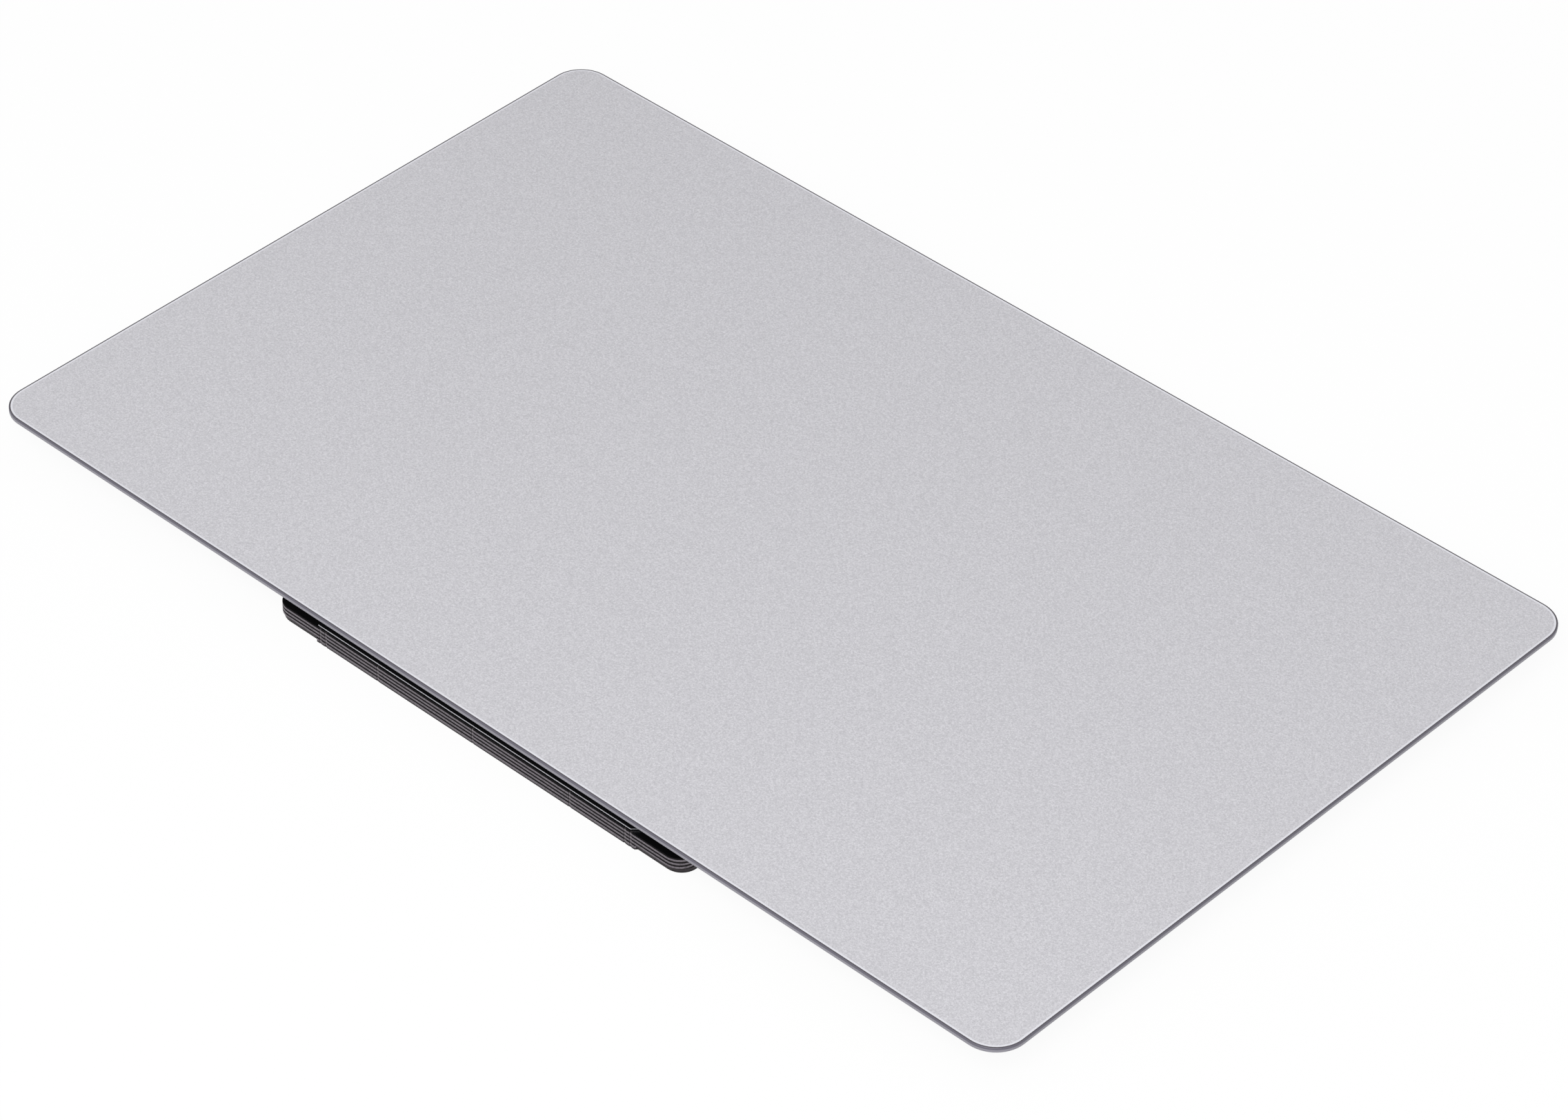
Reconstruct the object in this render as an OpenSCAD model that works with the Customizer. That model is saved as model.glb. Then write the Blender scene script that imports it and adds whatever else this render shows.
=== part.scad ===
// Haptic touch module: a glass touch plate that presses on four flexure arms and is
// shaken from below by a moving-iron drive held in a laminated steel frame.
// Lengths are in millimetres. X runs along the glass, Y from the front edge to the rear
// edge and Z up. The origin is the middle of the underside.

/* [Glass] */
// Length of the glass
glass_l = 134; // [122:1:160]
// Width of the glass
glass_w = 83.5; // [80:0.5:100]
// Thickness of the glass
glass_t = 0.56; // [0.4:0.02:1]
// Corner radius of the glass seen from above
glass_r = 3.5; // [2:0.5:8]
// Chamfer ground along both rims of the glass
glass_chamfer = 0.08; // [0.04:0.01:0.15]
// Thickness of the film that bonds the glass
adhesive_t = 0.1; // [0.05:0.01:0.2]
// How far the film stays inside the glass edge
adhesive_margin = 1.2; // [0.6:0.1:2]

/* [Sensor board] */
// Thickness of the sensor board
board_t = 0.8; // [0.5:0.05:1.2]
// How far the board stays inside the glass edge
board_margin = 1.5; // [1:0.1:3]
// Side of the touch controller
controller_l = 9; // [6:0.5:10]
// Height of the chips
chip_h = 0.5; // [0.35:0.05:0.6]
// Length of the shield can along X
shield_l = 16; // [14:0.5:20]
// Width of the shield can along Y
shield_w = 12.5; // [11:0.5:16]
// Height of the shield can
shield_h = 0.95; // [0.9:0.05:1.2]
// Sheet thickness of the shield can
shield_wall = 0.15; // [0.1:0.01:0.2]

/* [Host connector] */
// Contacts of the host connector
contact_count = 24; // [16:1:28]
// Distance from one contact to the next
contact_pitch = 0.6; // [0.5:0.05:0.65]
// Height of the connector under the board
connector_h = 1; // [0.95:0.01:1.1]
// Radius of the latch pivots
pivot_r = 0.2; // [0.15:0.01:0.22]
// Running clearance round the latch pivots
pivot_fit = 0.05; // [0.02:0.01:0.08]
// Reach of the latch flap from its pivot
latch_reach = 1.1; // [0.9:0.05:1.3]

/* [Frame] */
// Length of the frame along X
frame_l = 54.6; // [50:0.1:60]
// How far the front and rear face of the frame stay behind the edges of the glass
frame_setback = 0.9; // [0.6:0.05:2.5]
// Corner radius of the frame
frame_r = 1.9; // [1:0.1:3]
// Thickness of the base ply
base_t = 0.55; // [0.5:0.01:0.7]
// How far the ends of the base ply stay behind the plies above it
base_setback = 0.24; // [0.1:0.02:0.5]
// Length of the middle of the base ply that is flush with the plies above it
nose_l = 43.2; // [40:0.1:44]
// Thickness of each ply above the base ply
ply_t = 0.43; // [0.38:0.01:0.46]
// Depth of the etched groove along both rims of a ply
edge_etch = 0.06; // [0.03:0.01:0.12]
// Height of the etched groove along both rims of a ply
edge_land = 0.09; // [0.04:0.01:0.12]
// Depth of the corner notches in the flexure, where the host's ears lie
ear_depth = 6.8; // [6:0.05:8]
// Radius of the mounting holes
mount_r = 0.8; // [0.65:0.05:1]
// Width of an edge weld
weld_w = 0.26; // [0.2:0.02:0.6]
// Depth of an edge weld
weld_depth = 0.2; // [0.12:0.02:0.4]
// Length of the cable window along X
window_l = 26; // [22:0.5:28]
// Width of the cable window along Y
window_w = 12; // [11:0.5:13]

/* [Flexure] */
// Thickness of the insulating shim under the flexure
shim_t = 0.05; // [0.03:0.01:0.1]
// How far the shim stays behind the flexure edge
shim_setback = 0.15; // [0.1:0.01:0.3]
// Length of the tongues of the flexure along X
tongue_l = 42.6; // [40:0.1:44]
// How far the tongues stay behind the front and rear face of the frame
tongue_setback = 0.2; // [0.1:0.02:0.5]
// Cut of the right corner of a tongue, which tells the flexure's left from its right
tongue_chamfer = 0.64; // [0.3:0.02:1]
// Thickness of the flexure sheet
flexure_t = 0.2; // [0.15:0.01:0.3]
// Free length of an arm
arm_l = 14; // [11:0.5:15]
// Width of an arm
arm_w = 6; // [4:0.25:7]
// Distance from the corner notch to the middle of an arm
arm_inset = 8; // [7.5:0.1:8.5]
// Side of the pad at the tip of an arm
tip_l = 10; // [9:0.25:11]
// Thickness of the plate on an arm tip
tip_plate_t = 0.2; // [0.1:0.01:0.25]
// Side of a gel pad
gel_l = 8; // [6:0.25:8.5]
// Thickness of a gel pad
gel_t = 0.4; // [0.3:0.01:0.5]
// Thickness of the landing plates and of the stiffener
landing_t = 0.38; // [0.3:0.01:0.45]
// Width of a clamp bar
clamp_w = 3.6; // [3.2:0.1:4]
// Thickness of a clamp bar
clamp_t = 0.35; // [0.25:0.01:0.4]
// Full travel of the press
press_travel = 0.2; // [0.1:0.01:0.22]
// Gap left over a travel bumper at the end of the press
bumper_gap = 0.05; // [0.03:0.01:0.1]

/* [Haptic drive] */
// Width of the armature bar
armature_w = 3.2; // [2.5:0.1:4]
// Gap between the armature and a pole
pole_gap = 0.45; // [0.3:0.01:0.6]
// Length of a core leg
leg_l = 5.95; // [5:0.05:6.2]
// Width of a core leg
leg_w = 7; // [5:0.25:7.5]
// Distance from the middle to a core leg
leg_x = 10; // [9:0.25:11]
// Width of a core yoke
yoke_w = 2.5; // [2:0.1:2.8]
// Build of a winding over its bobbin
coil_build = 0.25; // [0.18:0.01:0.28]
// Wall of a bobbin
bobbin_wall = 0.12; // [0.1:0.01:0.14]

/* [Hidden] */
$fn = 48;
// Overlap of a cutting shape past the faces that it cuts
over = 1;
// Close clearance between pieces that are fixed together
fit = 0.03;
ply_count = 4;

// Heights of the layers, from the underside up
stack_top = base_t + (ply_count - 1) * ply_t;
flexure_z = stack_top + shim_t;
flexure_top = flexure_z + flexure_t;
gel_z = flexure_top + tip_plate_t;
landing_z = gel_z + gel_t;
board_z = landing_z + landing_t;
adhesive_z = board_z + board_t;
glass_z = adhesive_z + adhesive_t;

// Outline of the board
board_l = glass_l - 2 * board_margin;
board_w = glass_w - 2 * board_margin;
board_r = glass_r - board_margin / 2;

// Outline of the frame
frame_w = glass_w - 2 * frame_setback;
base_w = frame_w - 2 * base_setback;
shoulder_y = frame_w / 2 - ear_depth;
ear_x = (frame_l + nose_l) / 4;
ear_y = frame_w / 2 - ear_depth / 2;
weld_mid = 12.9;
weld_end = 20.1;
weld_pair = 0.75;
weld_side = [weld_mid, weld_end, weld_end + weld_pair];
weld_x = [for (side = [-1, 1], x = weld_side) side * x, 0];

// Rails beside the drive: a clamp bar, the flat circuit and the clearances round them
flexure_inset = 0.35;
flex_w = 2;
trunk_gap = 1.3;
trunk_margin = 0.6;
rail_w = flexure_inset + clamp_w + trunk_gap + flex_w + trunk_margin;

// Haptic drive: the cores lie between the top ply and the base ply
core_t = 2 * ply_t;
core_z = base_t;
core_ear = 4.5;
drive_clear = 0.5;
drive_window_l = frame_l - 2 * rail_w;
armature_l = drive_window_l - 2 * drive_clear;
core_l = drive_window_l + 2 * core_ear;
pole_y = armature_w / 2 + pole_gap;
yoke_y = pole_y + leg_l;
core_y = yoke_y + yoke_w;
yoke_lap = 0.5;
drive_window_w = 2 * (core_y - yoke_lap);
bobbin_fit = 0.05;
flange_t = 0.25;
flange_lip = 0.05;
bobbin_setback = 0.5;
bobbin_y = pole_y + bobbin_setback;
bobbin_l = yoke_y - bobbin_fit - bobbin_y;
bore_l = leg_w + 2 * bobbin_fit;
bore_h = core_t + 2 * bobbin_fit;
former_l = bore_l + 2 * bobbin_wall;
former_h = bore_h + 2 * bobbin_wall;
coil_l = former_l + 2 * coil_build;
coil_h = former_h + 2 * coil_build;
flange_l = coil_l + 2 * flange_lip;
flange_h = coil_h + 2 * flange_lip;
coil_axis_z = core_z + core_t / 2;
coil_slot_clear = 0.3;
coil_slot_r = 0.6;
armature_gap = 0.08;
armature_z = base_t + press_travel + armature_gap;
armature_end_r = 0.8;
armature_relief = 0.4;
relief_margin = 0.5;
armature_screw_in = 2;
armature_screw_x = [-armature_l / 2 + armature_screw_in, 0, armature_l / 2 - armature_screw_in];
armature_head_r = 1;
armature_head_h = 0.4;
armature_head_sink = 0.05;
socket_r = 0.45;
stiffener_over = 3;
stiffener_l = armature_l + 2 * stiffener_over;
stiffener_w = 2 * yoke_y;
stiffener_r = 2;

// Cable window behind the drive
drive_to_window = 6.5;
window_y = core_y + drive_to_window;
window_mid_y = window_y + window_w / 2;
window_r = 1.5;

// Lightening slots in front of the drive
slot_w = 5;
slot_l = 11;
slot_pitch = 9;
slot_mid_y = -window_mid_y;

// Flexure arms, clamps and fasteners
arm_y = shoulder_y - arm_inset;
tip_x = frame_l / 2 + arm_l + tip_l / 2;
tip_r = 1.5;
gel_r = 1;
root_fillet = 1.2;
plate_margin = 0.5;
clamp_over = 2.4;
clamp_l = arm_w + 2 * clamp_over;
clamp_x = frame_l / 2 - flexure_inset - clamp_w / 2;
clamp_r = 0.5;
clamp_screw_in = 1.7;
clamp_screw_y = clamp_l / 2 - clamp_screw_in;
screw_r = 0.5;
head_r = 1.1;
head_sink = 0.2;
head_h = base_t - head_sink;
rivet_r = 0.6;
rivet_head_h = 0.2;
rivet_near_x = 8;
rivet_far_x = 17;
rivet_edge = 3.4;
rail_rivet_in = 0.6;
rail_rivet_gap = 4;
rivet_places = [
    [rivet_near_x, frame_w / 2 - rivet_edge],
    [rivet_far_x, frame_w / 2 - rivet_edge],
    [clamp_x - rail_rivet_in, core_y + rail_rivet_gap],
];
bumper_x = 12;
bumper_y = shoulder_y;
bumper_r = 1.5;
bumper_h = board_z - press_travel - bumper_gap - flexure_top;

// Flat circuit on the flexure
flex_t = 0.08;
flex_r = 0.5;
trunk_x = drive_window_l / 2 + trunk_margin + flex_w / 2;
flex_bar_gap = 3;
flex_bar_y = core_y + flex_bar_gap;
flex_tab_w = 3;
flex_tab_y = yoke_y - bobbin_fit - flange_t;
tail_w = 4;
tail_gap = 2.1;
tail_x = trunk_x - flex_w / 2 - tail_gap - tail_w / 2;
tail_start = flex_bar_y + flex_w / 2;
tail_flat = 0.4;
tail_rise = 2.6;
tail_land = 1.6;
tail_weld = 0.4;
gauge_gap = 1;
gauge_x = frame_l / 2 + gauge_gap;
gauge_l = 3;
gauge_r = 0.3;
gauge_w = 3.6;
gauge_t = 0.06;
tunnel_clear = 0.2;

// Host connector: the latch turns about an X axis at pivot_y, pivot_z
connector_end = 1.8;
connector_l = contact_count * contact_pitch + 2 * connector_end;
window_to_connector = 2.9;
connector_y = window_y + window_to_connector;
connector_block = 3.2;
connector_lip = 1.5;
connector_ear = 0.7;
connector_z = board_z - connector_h;
slot_h = 0.2;
slot_end = 0.3;
slot_floor = 1.3;
channel_end = 0.2;
contact_t = 0.08;
contact_w = 0.24;
contact_tail = 0.7;
contact_heel = 0.4;
contact_toe = 0.4;
lip_t = 0.32;
latch_wall = 0.07;
latch_r = pivot_r + latch_wall;
latch_gap = 0.08;
latch_clear = 0.25;
latch_end_gap = 0.1;
ear_over = 0.2;
pivot_y = connector_y + connector_block + latch_r + latch_clear;
pivot_z = board_z - lip_t - latch_gap - latch_r;
latch_t = 0.37;
latch_l = connector_l - 2 * connector_ear - 2 * latch_end_gap;
pivot_l = 0.5;

// Chips and parts under the wings of the board
wing_x = (frame_l / 2 + board_l / 2) / 2;
chip_r = 0.2;
lid_r = 0.3;
shield_r = 0.6;
shield_clear = 1;
memory_l = 5;
memory_w = 6;
driver_l = 6;
amplifier_l = 4;
crystal_l = 3.2;
crystal_w = 2.5;
inductor_l = 2.5;
inductor_w = 2;
inductor_h = 0.7;
inductor_gap = 1.6;
bulk_l = 3.5;
bulk_w = 2.8;
bulk_h = 0.75;
passive_l = 1;
passive_w = 0.5;
passive_h = 0.35;
passive_r = 0.05;
part_gap = 1.6;
passive_pitch = 1.6;
vent_r = 0.4;
vent_pitch = 2.6;

// Height of the underside of a ply. Ply 1 is the top one and the last one is the base.
function ply_z(level) = level == ply_count ? 0 : base_t + (ply_count - 1 - level) * ply_t;
function ply_h(level) = level == ply_count ? base_t : ply_t;

// A copy on both sides of the X = 0 plane
module both_sides() {
    for (side = [0, 1]) mirror([side, 0, 0]) children();
}

// A copy at the front and at the rear
module front_and_rear() {
    for (side = [0, 1]) mirror([0, side, 0]) children();
}

// A copy in each quarter
module quarters() {
    both_sides() front_and_rear() children();
}

// Flat rectangle with round corners, centred
module rounded_rect(l, w, r) {
    difference() {
        square([l, w], center = true);
        quarters() translate([l / 2 - r, w / 2 - r]) difference() {
            square(r + over);
            circle(r);
        }
    }
}

// Flat slot with round ends along Y, centred
module round_slot(w, l) {
    square([w, l - w], center = true);
    front_and_rear() translate([0, (l - w) / 2]) circle(w / 2);
}

// Flat shapes that stand on z as one sheet
module sheet(z, t) {
    for (i = [0:$children - 1]) translate([0, 0, z]) linear_extrude(t) children(i);
}

// Straight block with round upright edges, standing on z
module rounded_plate(l, w, r, z, t) {
    translate([0, 0, z]) linear_extrude(t) rounded_rect(l, w, r);
}

// A flat shape cut through the layer that stands on z
module cut_through(z, t) {
    translate([0, 0, z - over]) linear_extrude(t + 2 * over) children();
}

// Plate with round corners and a chamfer along both rims
module chamfered_plate(l, w, r, t, c) {
    module profile(half) {
        polygon([
            [-half + c, 0], [half - c, 0], [half, c], [half, t - c],
            [half - c, t], [-half + c, t], [-half, t - c], [-half, c],
        ]);
    }
    rotate([90, 0, 90]) linear_extrude(l - 2 * r, center = true) profile(w / 2);
    rotate([90, 0, 0]) linear_extrude(w - 2 * r, center = true) profile(l / 2);
    quarters() translate([l / 2 - r, w / 2 - r, 0]) rotate_extrude()
        intersection() {
            profile(r);
            translate([0, -over]) square([r + over, t + 2 * over]);
        }
}

// Round head with a chamfered crown, standing on z = 0
module crowned_head(r, h) {
    c = h / 3;
    rotate_extrude() polygon([[0, 0], [r, 0], [r, h - c], [r - c, h], [0, h]]);
}

// Laminated frame

// Strip from front to rear with cut corners, from its half length, half width and cut
module nose_outline(x, y, corner) {
    polygon([
        [-x + corner, -y], [x - corner, -y], [x, -y + corner], [x, y - corner],
        [x - corner, y], [-x + corner, y], [-x, y - corner], [-x, -y + corner],
    ]);
}

// The same strip with only its right corners cut
module tongue_outline(x, y, corner) {
    polygon([
        [-x, -y], [x - corner, -y], [x, -y + corner], [x, y - corner], [x - corner, y], [-x, y],
    ]);
}

// Sheet with the outline of a ply, drawn in by an inset
module ply_sheet(level, inset, z, t) {
    base = level == ply_count;
    w = base ? base_w : frame_w;
    sheet(z, t) rounded_rect(frame_l - 2 * inset, w - 2 * inset, frame_r - inset);
    if (base) sheet(z, t)
        nose_outline(nose_l / 2 - inset, frame_w / 2 - inset, base_setback);
}

module cable_window() {
    translate([0, window_mid_y]) rounded_rect(window_l, window_w, window_r);
}

module lightening_slots() {
    for (i = [-1:1]) translate([i * slot_pitch, slot_mid_y]) round_slot(slot_w, slot_l);
}

module drive_window() {
    rounded_rect(drive_window_l, drive_window_w, window_r);
}

module yoke_slots() {
    front_and_rear() translate([0, (yoke_y + core_y) / 2])
        square([core_l + 2 * fit, yoke_w + 2 * fit], center = true);
}

module coil_slots() {
    quarters() translate([leg_x, bobbin_y + bobbin_l / 2])
        rounded_rect(flange_l + 2 * coil_slot_clear, bobbin_l + 2 * coil_slot_clear, coil_slot_r);
}

module at_rivets() {
    quarters() for (place = rivet_places) translate(place) children();
}

module at_clamp_screws() {
    quarters() translate([clamp_x, arm_y]) front_and_rear()
        translate([0, clamp_screw_y]) children();
}

module at_welds() {
    front_and_rear() for (x = weld_x) translate([x, frame_w / 2]) children();
}

// All cuts of one ply, drawn flat
module ply_cuts(level) {
    base = level == ply_count;
    cable_window();
    lightening_slots();
    if (base) coil_slots(); else drive_window();
    if (level > 1 && !base) yoke_slots();
    quarters() translate([ear_x, ear_y]) circle(mount_r);
    at_rivets() circle(base ? head_r + fit : rivet_r + fit);
    at_clamp_screws() circle(base ? head_r + fit : screw_r + fit);
    at_welds() square([weld_w, 2 * weld_depth], center = true);
}

// One ply: its rims are etched back, so that a fine groove shows between two plies. The
// lower rim of the base ply is left square.
module ply(level) {
    base = level == ply_count;
    z = ply_z(level);
    h = ply_h(level);
    low = base ? h - 2 * edge_land : 0;
    foot = base ? 0 : edge_land;
    difference() {
        union() {
            ply_sheet(level, edge_etch, z + low, h - low);
            ply_sheet(level, 0, z + foot, h - foot - edge_land);
        }
        cut_through(z, h) ply_cuts(level);
    }
}

module frame_ply_1() { color("#2b2a29") ply(1); }
module frame_ply_2() { color("#302f2d") ply(2); }
module frame_ply_3() { color("#2b2a29") ply(3); }
module frame_ply_4() { color("#302f2d") ply(ply_count); }

module weld_beads() {
    color("#6b6964") linear_extrude(stack_top) at_welds()
        translate([0, -weld_depth / 2 - fit / 2])
            square([weld_w - 2 * fit, weld_depth - fit], center = true);
}

// Rivets with a head sunk in the base ply and a crown on the flexure
module stack_rivets() {
    color("#8d8f92") at_rivets() {
        cylinder_between(head_sink, base_t, head_r);
        cylinder_between(head_sink, flexure_top, rivet_r);
        translate([0, 0, flexure_top]) crowned_head(head_r, rivet_head_h);
    }
}

module cylinder_between(z0, z1, r) {
    translate([0, 0, z0]) cylinder(h = z1 - z0, r = r);
}

// Flexure

// Sheet over the whole frame, drawn in by an inset
module flexure_body(inset, z, t) {
    edge = flexure_inset + inset;
    sheet(z, t) {
        rounded_rect(frame_l - 2 * edge, 2 * shoulder_y - 2 * edge, frame_r);
        tongue_outline(
            tongue_l / 2 - inset, frame_w / 2 - tongue_setback - inset, tongue_chamfer
        );
    }
}

// One arm with its tip pad and the fillets at its root, in the +X +Y quarter
module flexure_arm() {
    root = frame_l / 2 - flexure_inset;
    sheet(flexure_z, flexure_t) {
        translate([root - over, arm_y - arm_w / 2]) square([tip_x - root + over, arm_w]);
        translate([tip_x, arm_y]) rounded_rect(tip_l, tip_l, tip_r);
        translate([root, arm_y]) front_and_rear() translate([0, arm_w / 2]) difference() {
            square(root_fillet);
            translate([root_fillet, root_fillet]) circle(root_fillet);
        }
    }
}

module flexure_cuts() {
    cable_window();
    lightening_slots();
    drive_window();
    at_rivets() circle(rivet_r + fit);
    at_clamp_screws() circle(screw_r + fit);
}

module flexure_shim() {
    color("#171719") difference() {
        flexure_body(shim_setback, stack_top, shim_t);
        cut_through(stack_top, shim_t) flexure_cuts();
    }
}

module flexure_plate() {
    color("#4a4b4d") difference() {
        union() {
            flexure_body(0, flexure_z, flexure_t);
            quarters() flexure_arm();
        }
        cut_through(flexure_z, flexure_t) flexure_cuts();
    }
}

// Clamp bars with a tunnel for the flat circuit and tapped holes for their screws
module clamp_bars() {
    tunnel_h = flex_t + tunnel_clear / 2;
    color("#55575a") quarters() translate([clamp_x, arm_y, 0]) difference() {
        rounded_plate(clamp_w, clamp_l, clamp_r, flexure_top, clamp_t);
        translate([0, 0, flexure_top]) cube(
            [clamp_w + 2 * over, flex_w + 2 * tunnel_clear, 2 * tunnel_h], center = true
        );
        front_and_rear() translate([0, clamp_screw_y, 0])
            cylinder_between(flexure_top - over, flexure_top + clamp_t + over, screw_r + fit);
    }
}

module clamp_screws() {
    socket_h = head_h / 2;
    color("#9a9b9e") at_clamp_screws() difference() {
        union() {
            cylinder_between(head_sink, base_t, head_r);
            cylinder_between(head_sink, flexure_top + clamp_t, screw_r);
        }
        translate([0, 0, head_sink - over])
            cylinder(h = socket_h + over, r = socket_r, $fn = 6);
    }
}

module travel_bumpers() {
    color("#26262a") quarters() translate([bumper_x, bumper_y, flexure_top])
        crowned_head(bumper_r, bumper_h);
}

module tip_plates() {
    l = tip_l - 2 * plate_margin;
    color("#a9abae") quarters() translate([tip_x, arm_y, 0])
        rounded_plate(l, l, tip_r, flexure_top, tip_plate_t);
}

module gel_pads() {
    color("#8fa3ad") quarters() translate([tip_x, arm_y, 0])
        rounded_plate(gel_l, gel_l, gel_r, gel_z, gel_t);
}

module landing_plates() {
    l = tip_l - 2 * plate_margin;
    color("#a9abae") quarters() translate([tip_x, arm_y, 0])
        rounded_plate(l, l, tip_r, landing_z, landing_t);
}

// Strain gauge carriers on the roots of the arms
module strain_gauges() {
    color("#b5742e") quarters()
        translate([gauge_x + gauge_l / 2, arm_y, 0])
            rounded_plate(gauge_l, gauge_w, gauge_r, flexure_top, gauge_t);
}

// Flat circuit: two bars, two trunks, a branch to each gauge, a tab to each coil and a
// tail that rises to the board
module frame_flex() {
    color("#a8641c") {
        sheet(flexure_top, flex_t) {
            front_and_rear() translate([0, flex_bar_y])
                square([2 * trunk_x, flex_w], center = true);
            both_sides() translate([trunk_x, 0])
                rounded_rect(flex_w, 2 * arm_y + flex_w, flex_r);
            quarters() translate([trunk_x, arm_y - flex_w / 2])
                square([gauge_x - trunk_x, flex_w]);
            quarters() translate([leg_x - flex_tab_w / 2, flex_tab_y])
                square([flex_tab_w, flex_bar_y - flex_tab_y]);
        }
        flex_tail();
    }
}

module flex_tail() {
    low = flexure_top;
    high = board_z - flex_t;
    y0 = tail_start - tail_weld;
    y1 = tail_start + tail_flat;
    y2 = y1 + tail_rise;
    y3 = y2 + tail_land;
    translate([tail_x - tail_w / 2, 0, 0]) rotate([90, 0, 90]) linear_extrude(tail_w)
        polygon([
            [y0, low], [y1, low], [y2, high], [y3, high],
            [y3, high + flex_t], [y2, high + flex_t], [y1, low + flex_t], [y0, low + flex_t],
        ]);
}

// Haptic drive

module core() {
    color("#5d5f63") sheet(core_z, core_t) {
        translate([0, (yoke_y + core_y) / 2]) square([core_l, yoke_w], center = true);
        both_sides() translate([leg_x - leg_w / 2, pole_y])
            square([leg_w, leg_l + yoke_w / 2]);
    }
}

module actuator_core_rear() { core(); }
module actuator_core_front() { mirror([0, 1, 0]) core(); }

// Upright rectangle with round corners that runs along Y from y for a length
module upright_bar(l, h, r, y, length) {
    translate([0, y + length, 0]) rotate([90, 0, 0]) linear_extrude(length)
        rounded_rect(l, h, r);
}

// Bobbin of the rear right leg, about the middle of its leg
module bobbin() {
    difference() {
        union() {
            upright_bar(former_l, former_h, bobbin_wall, bobbin_y, bobbin_l);
            for (y = [bobbin_y, bobbin_y + bobbin_l - flange_t])
                upright_bar(flange_l, flange_h, coil_build, y, flange_t);
        }
        translate([0, bobbin_y + bobbin_l / 2, 0])
            cube([bore_l, bobbin_l + 2 * over, bore_h], center = true);
    }
}

// Winding between the flanges of that bobbin
module winding() {
    y = bobbin_y + flange_t + fit;
    length = bobbin_l - 2 * flange_t - 2 * fit;
    difference() {
        upright_bar(coil_l, coil_h, coil_build, y, length);
        translate([0, y + length / 2, 0]) cube(
            [former_l + 2 * fit, length + 2 * over, former_h + 2 * fit], center = true
        );
    }
}

module at_rear_right_leg() {
    translate([leg_x, 0, coil_axis_z]) children();
}

module coil_bobbins() { color("#1c1c1f") quarters() at_rear_right_leg() bobbin(); }
module coil() { color("#b4632d") at_rear_right_leg() winding(); }
module coil_rear_right() { coil(); }
module coil_rear_left() { mirror([1, 0, 0]) coil(); }
module coil_front_right() { mirror([0, 1, 0]) coil(); }
module coil_front_left() { mirror([0, 1, 0]) mirror([1, 0, 0]) coil(); }

module stiffener_plate() {
    color("#b9bbbd") difference() {
        rounded_plate(stiffener_l, stiffener_w, stiffener_r, landing_z, landing_t);
        for (x = armature_screw_x) translate([x, 0, 0])
            cylinder_between(landing_z - over, board_z + over, screw_r + fit);
    }
}

// Moving iron with relieved flanks between its poles
module armature_bar() {
    relief_l = 2 * (leg_x - leg_w / 2 - relief_margin);
    color("#707276") difference() {
        rounded_plate(armature_l, armature_w, armature_end_r, armature_z, landing_z - armature_z);
        front_and_rear() translate([0, armature_w / 2, 0])
            cut_through(armature_z, landing_z - armature_z)
                rounded_rect(relief_l, 2 * armature_relief, armature_relief - fit);
        for (x = armature_screw_x) translate([x, 0, 0]) {
            cylinder_between(armature_z - over, landing_z + over, screw_r + fit);
            cylinder_between(armature_z - over, armature_z + armature_head_h, armature_head_r + fit);
        }
    }
}

module armature_screws() {
    head_z = armature_z + armature_head_sink;
    color("#9a9b9e") for (x = armature_screw_x) translate([x, 0, 0]) difference() {
        union() {
            cylinder_between(head_z, armature_z + armature_head_h, armature_head_r);
            cylinder_between(head_z, board_z, screw_r);
        }
        translate([0, 0, head_z - over])
            cylinder(h = armature_head_h / 2 + over, r = socket_r, $fn = 6);
    }
}

// Touch plate

module cover_glass() {
    color("#c9c9cd") translate([0, 0, glass_z])
        chamfered_plate(glass_l, glass_w, glass_r, glass_t, glass_chamfer);
}

module glass_adhesive() {
    color("#d8d4c4") rounded_plate(
        glass_l - 2 * adhesive_margin, glass_w - 2 * adhesive_margin,
        glass_r - adhesive_margin / 2, adhesive_z, adhesive_t
    );
}

module sensor_board() {
    color("#15191c") rounded_plate(board_l, board_w, board_r, board_z, board_t);
}

// A part that hangs under the board, with its middle at x, y
module under_board(x, y, l, w, h, r) {
    translate([x, y, 0]) rounded_plate(l, w, r, board_z - h, h);
}

module touch_controller() {
    color("#222326") under_board(wing_x, 0, controller_l, controller_l, chip_h, chip_r);
}

module memory_chip() {
    y = (controller_l + memory_w) / 2 + 2 * part_gap;
    color("#26272a") under_board(wing_x, y, memory_l, memory_w, chip_h, chip_r);
}

module clock_crystal() {
    y = -(controller_l + crystal_w) / 2 - 2 * part_gap;
    color("#b8babd") under_board(wing_x, y, crystal_l, crystal_w, chip_h, lid_r);
}

module haptic_driver() {
    x = -wing_x - shield_l / 2 + shield_wall + shield_clear + driver_l / 2;
    color("#222326") under_board(x, 0, driver_l, driver_l, chip_h, chip_r);
}

module driver_inductors() {
    x = -wing_x + shield_l / 2 - shield_wall - shield_clear - inductor_l / 2;
    color("#4b4744") front_and_rear()
        under_board(x, (inductor_w + inductor_gap) / 2, inductor_l, inductor_w, inductor_h, lid_r);
}

module gauge_amplifier() {
    x = -wing_x + shield_l / 2 + part_gap + amplifier_l / 2;
    color("#26272a") under_board(x, 0, amplifier_l, amplifier_l, chip_h, chip_r);
}

module bulk_capacitors() {
    x = -wing_x - shield_l / 2 - part_gap - bulk_l / 2;
    color("#b98b3a") for (i = [-1:1])
        under_board(x, i * (bulk_w + part_gap), bulk_l, bulk_w, bulk_h, chip_r);
}

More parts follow.
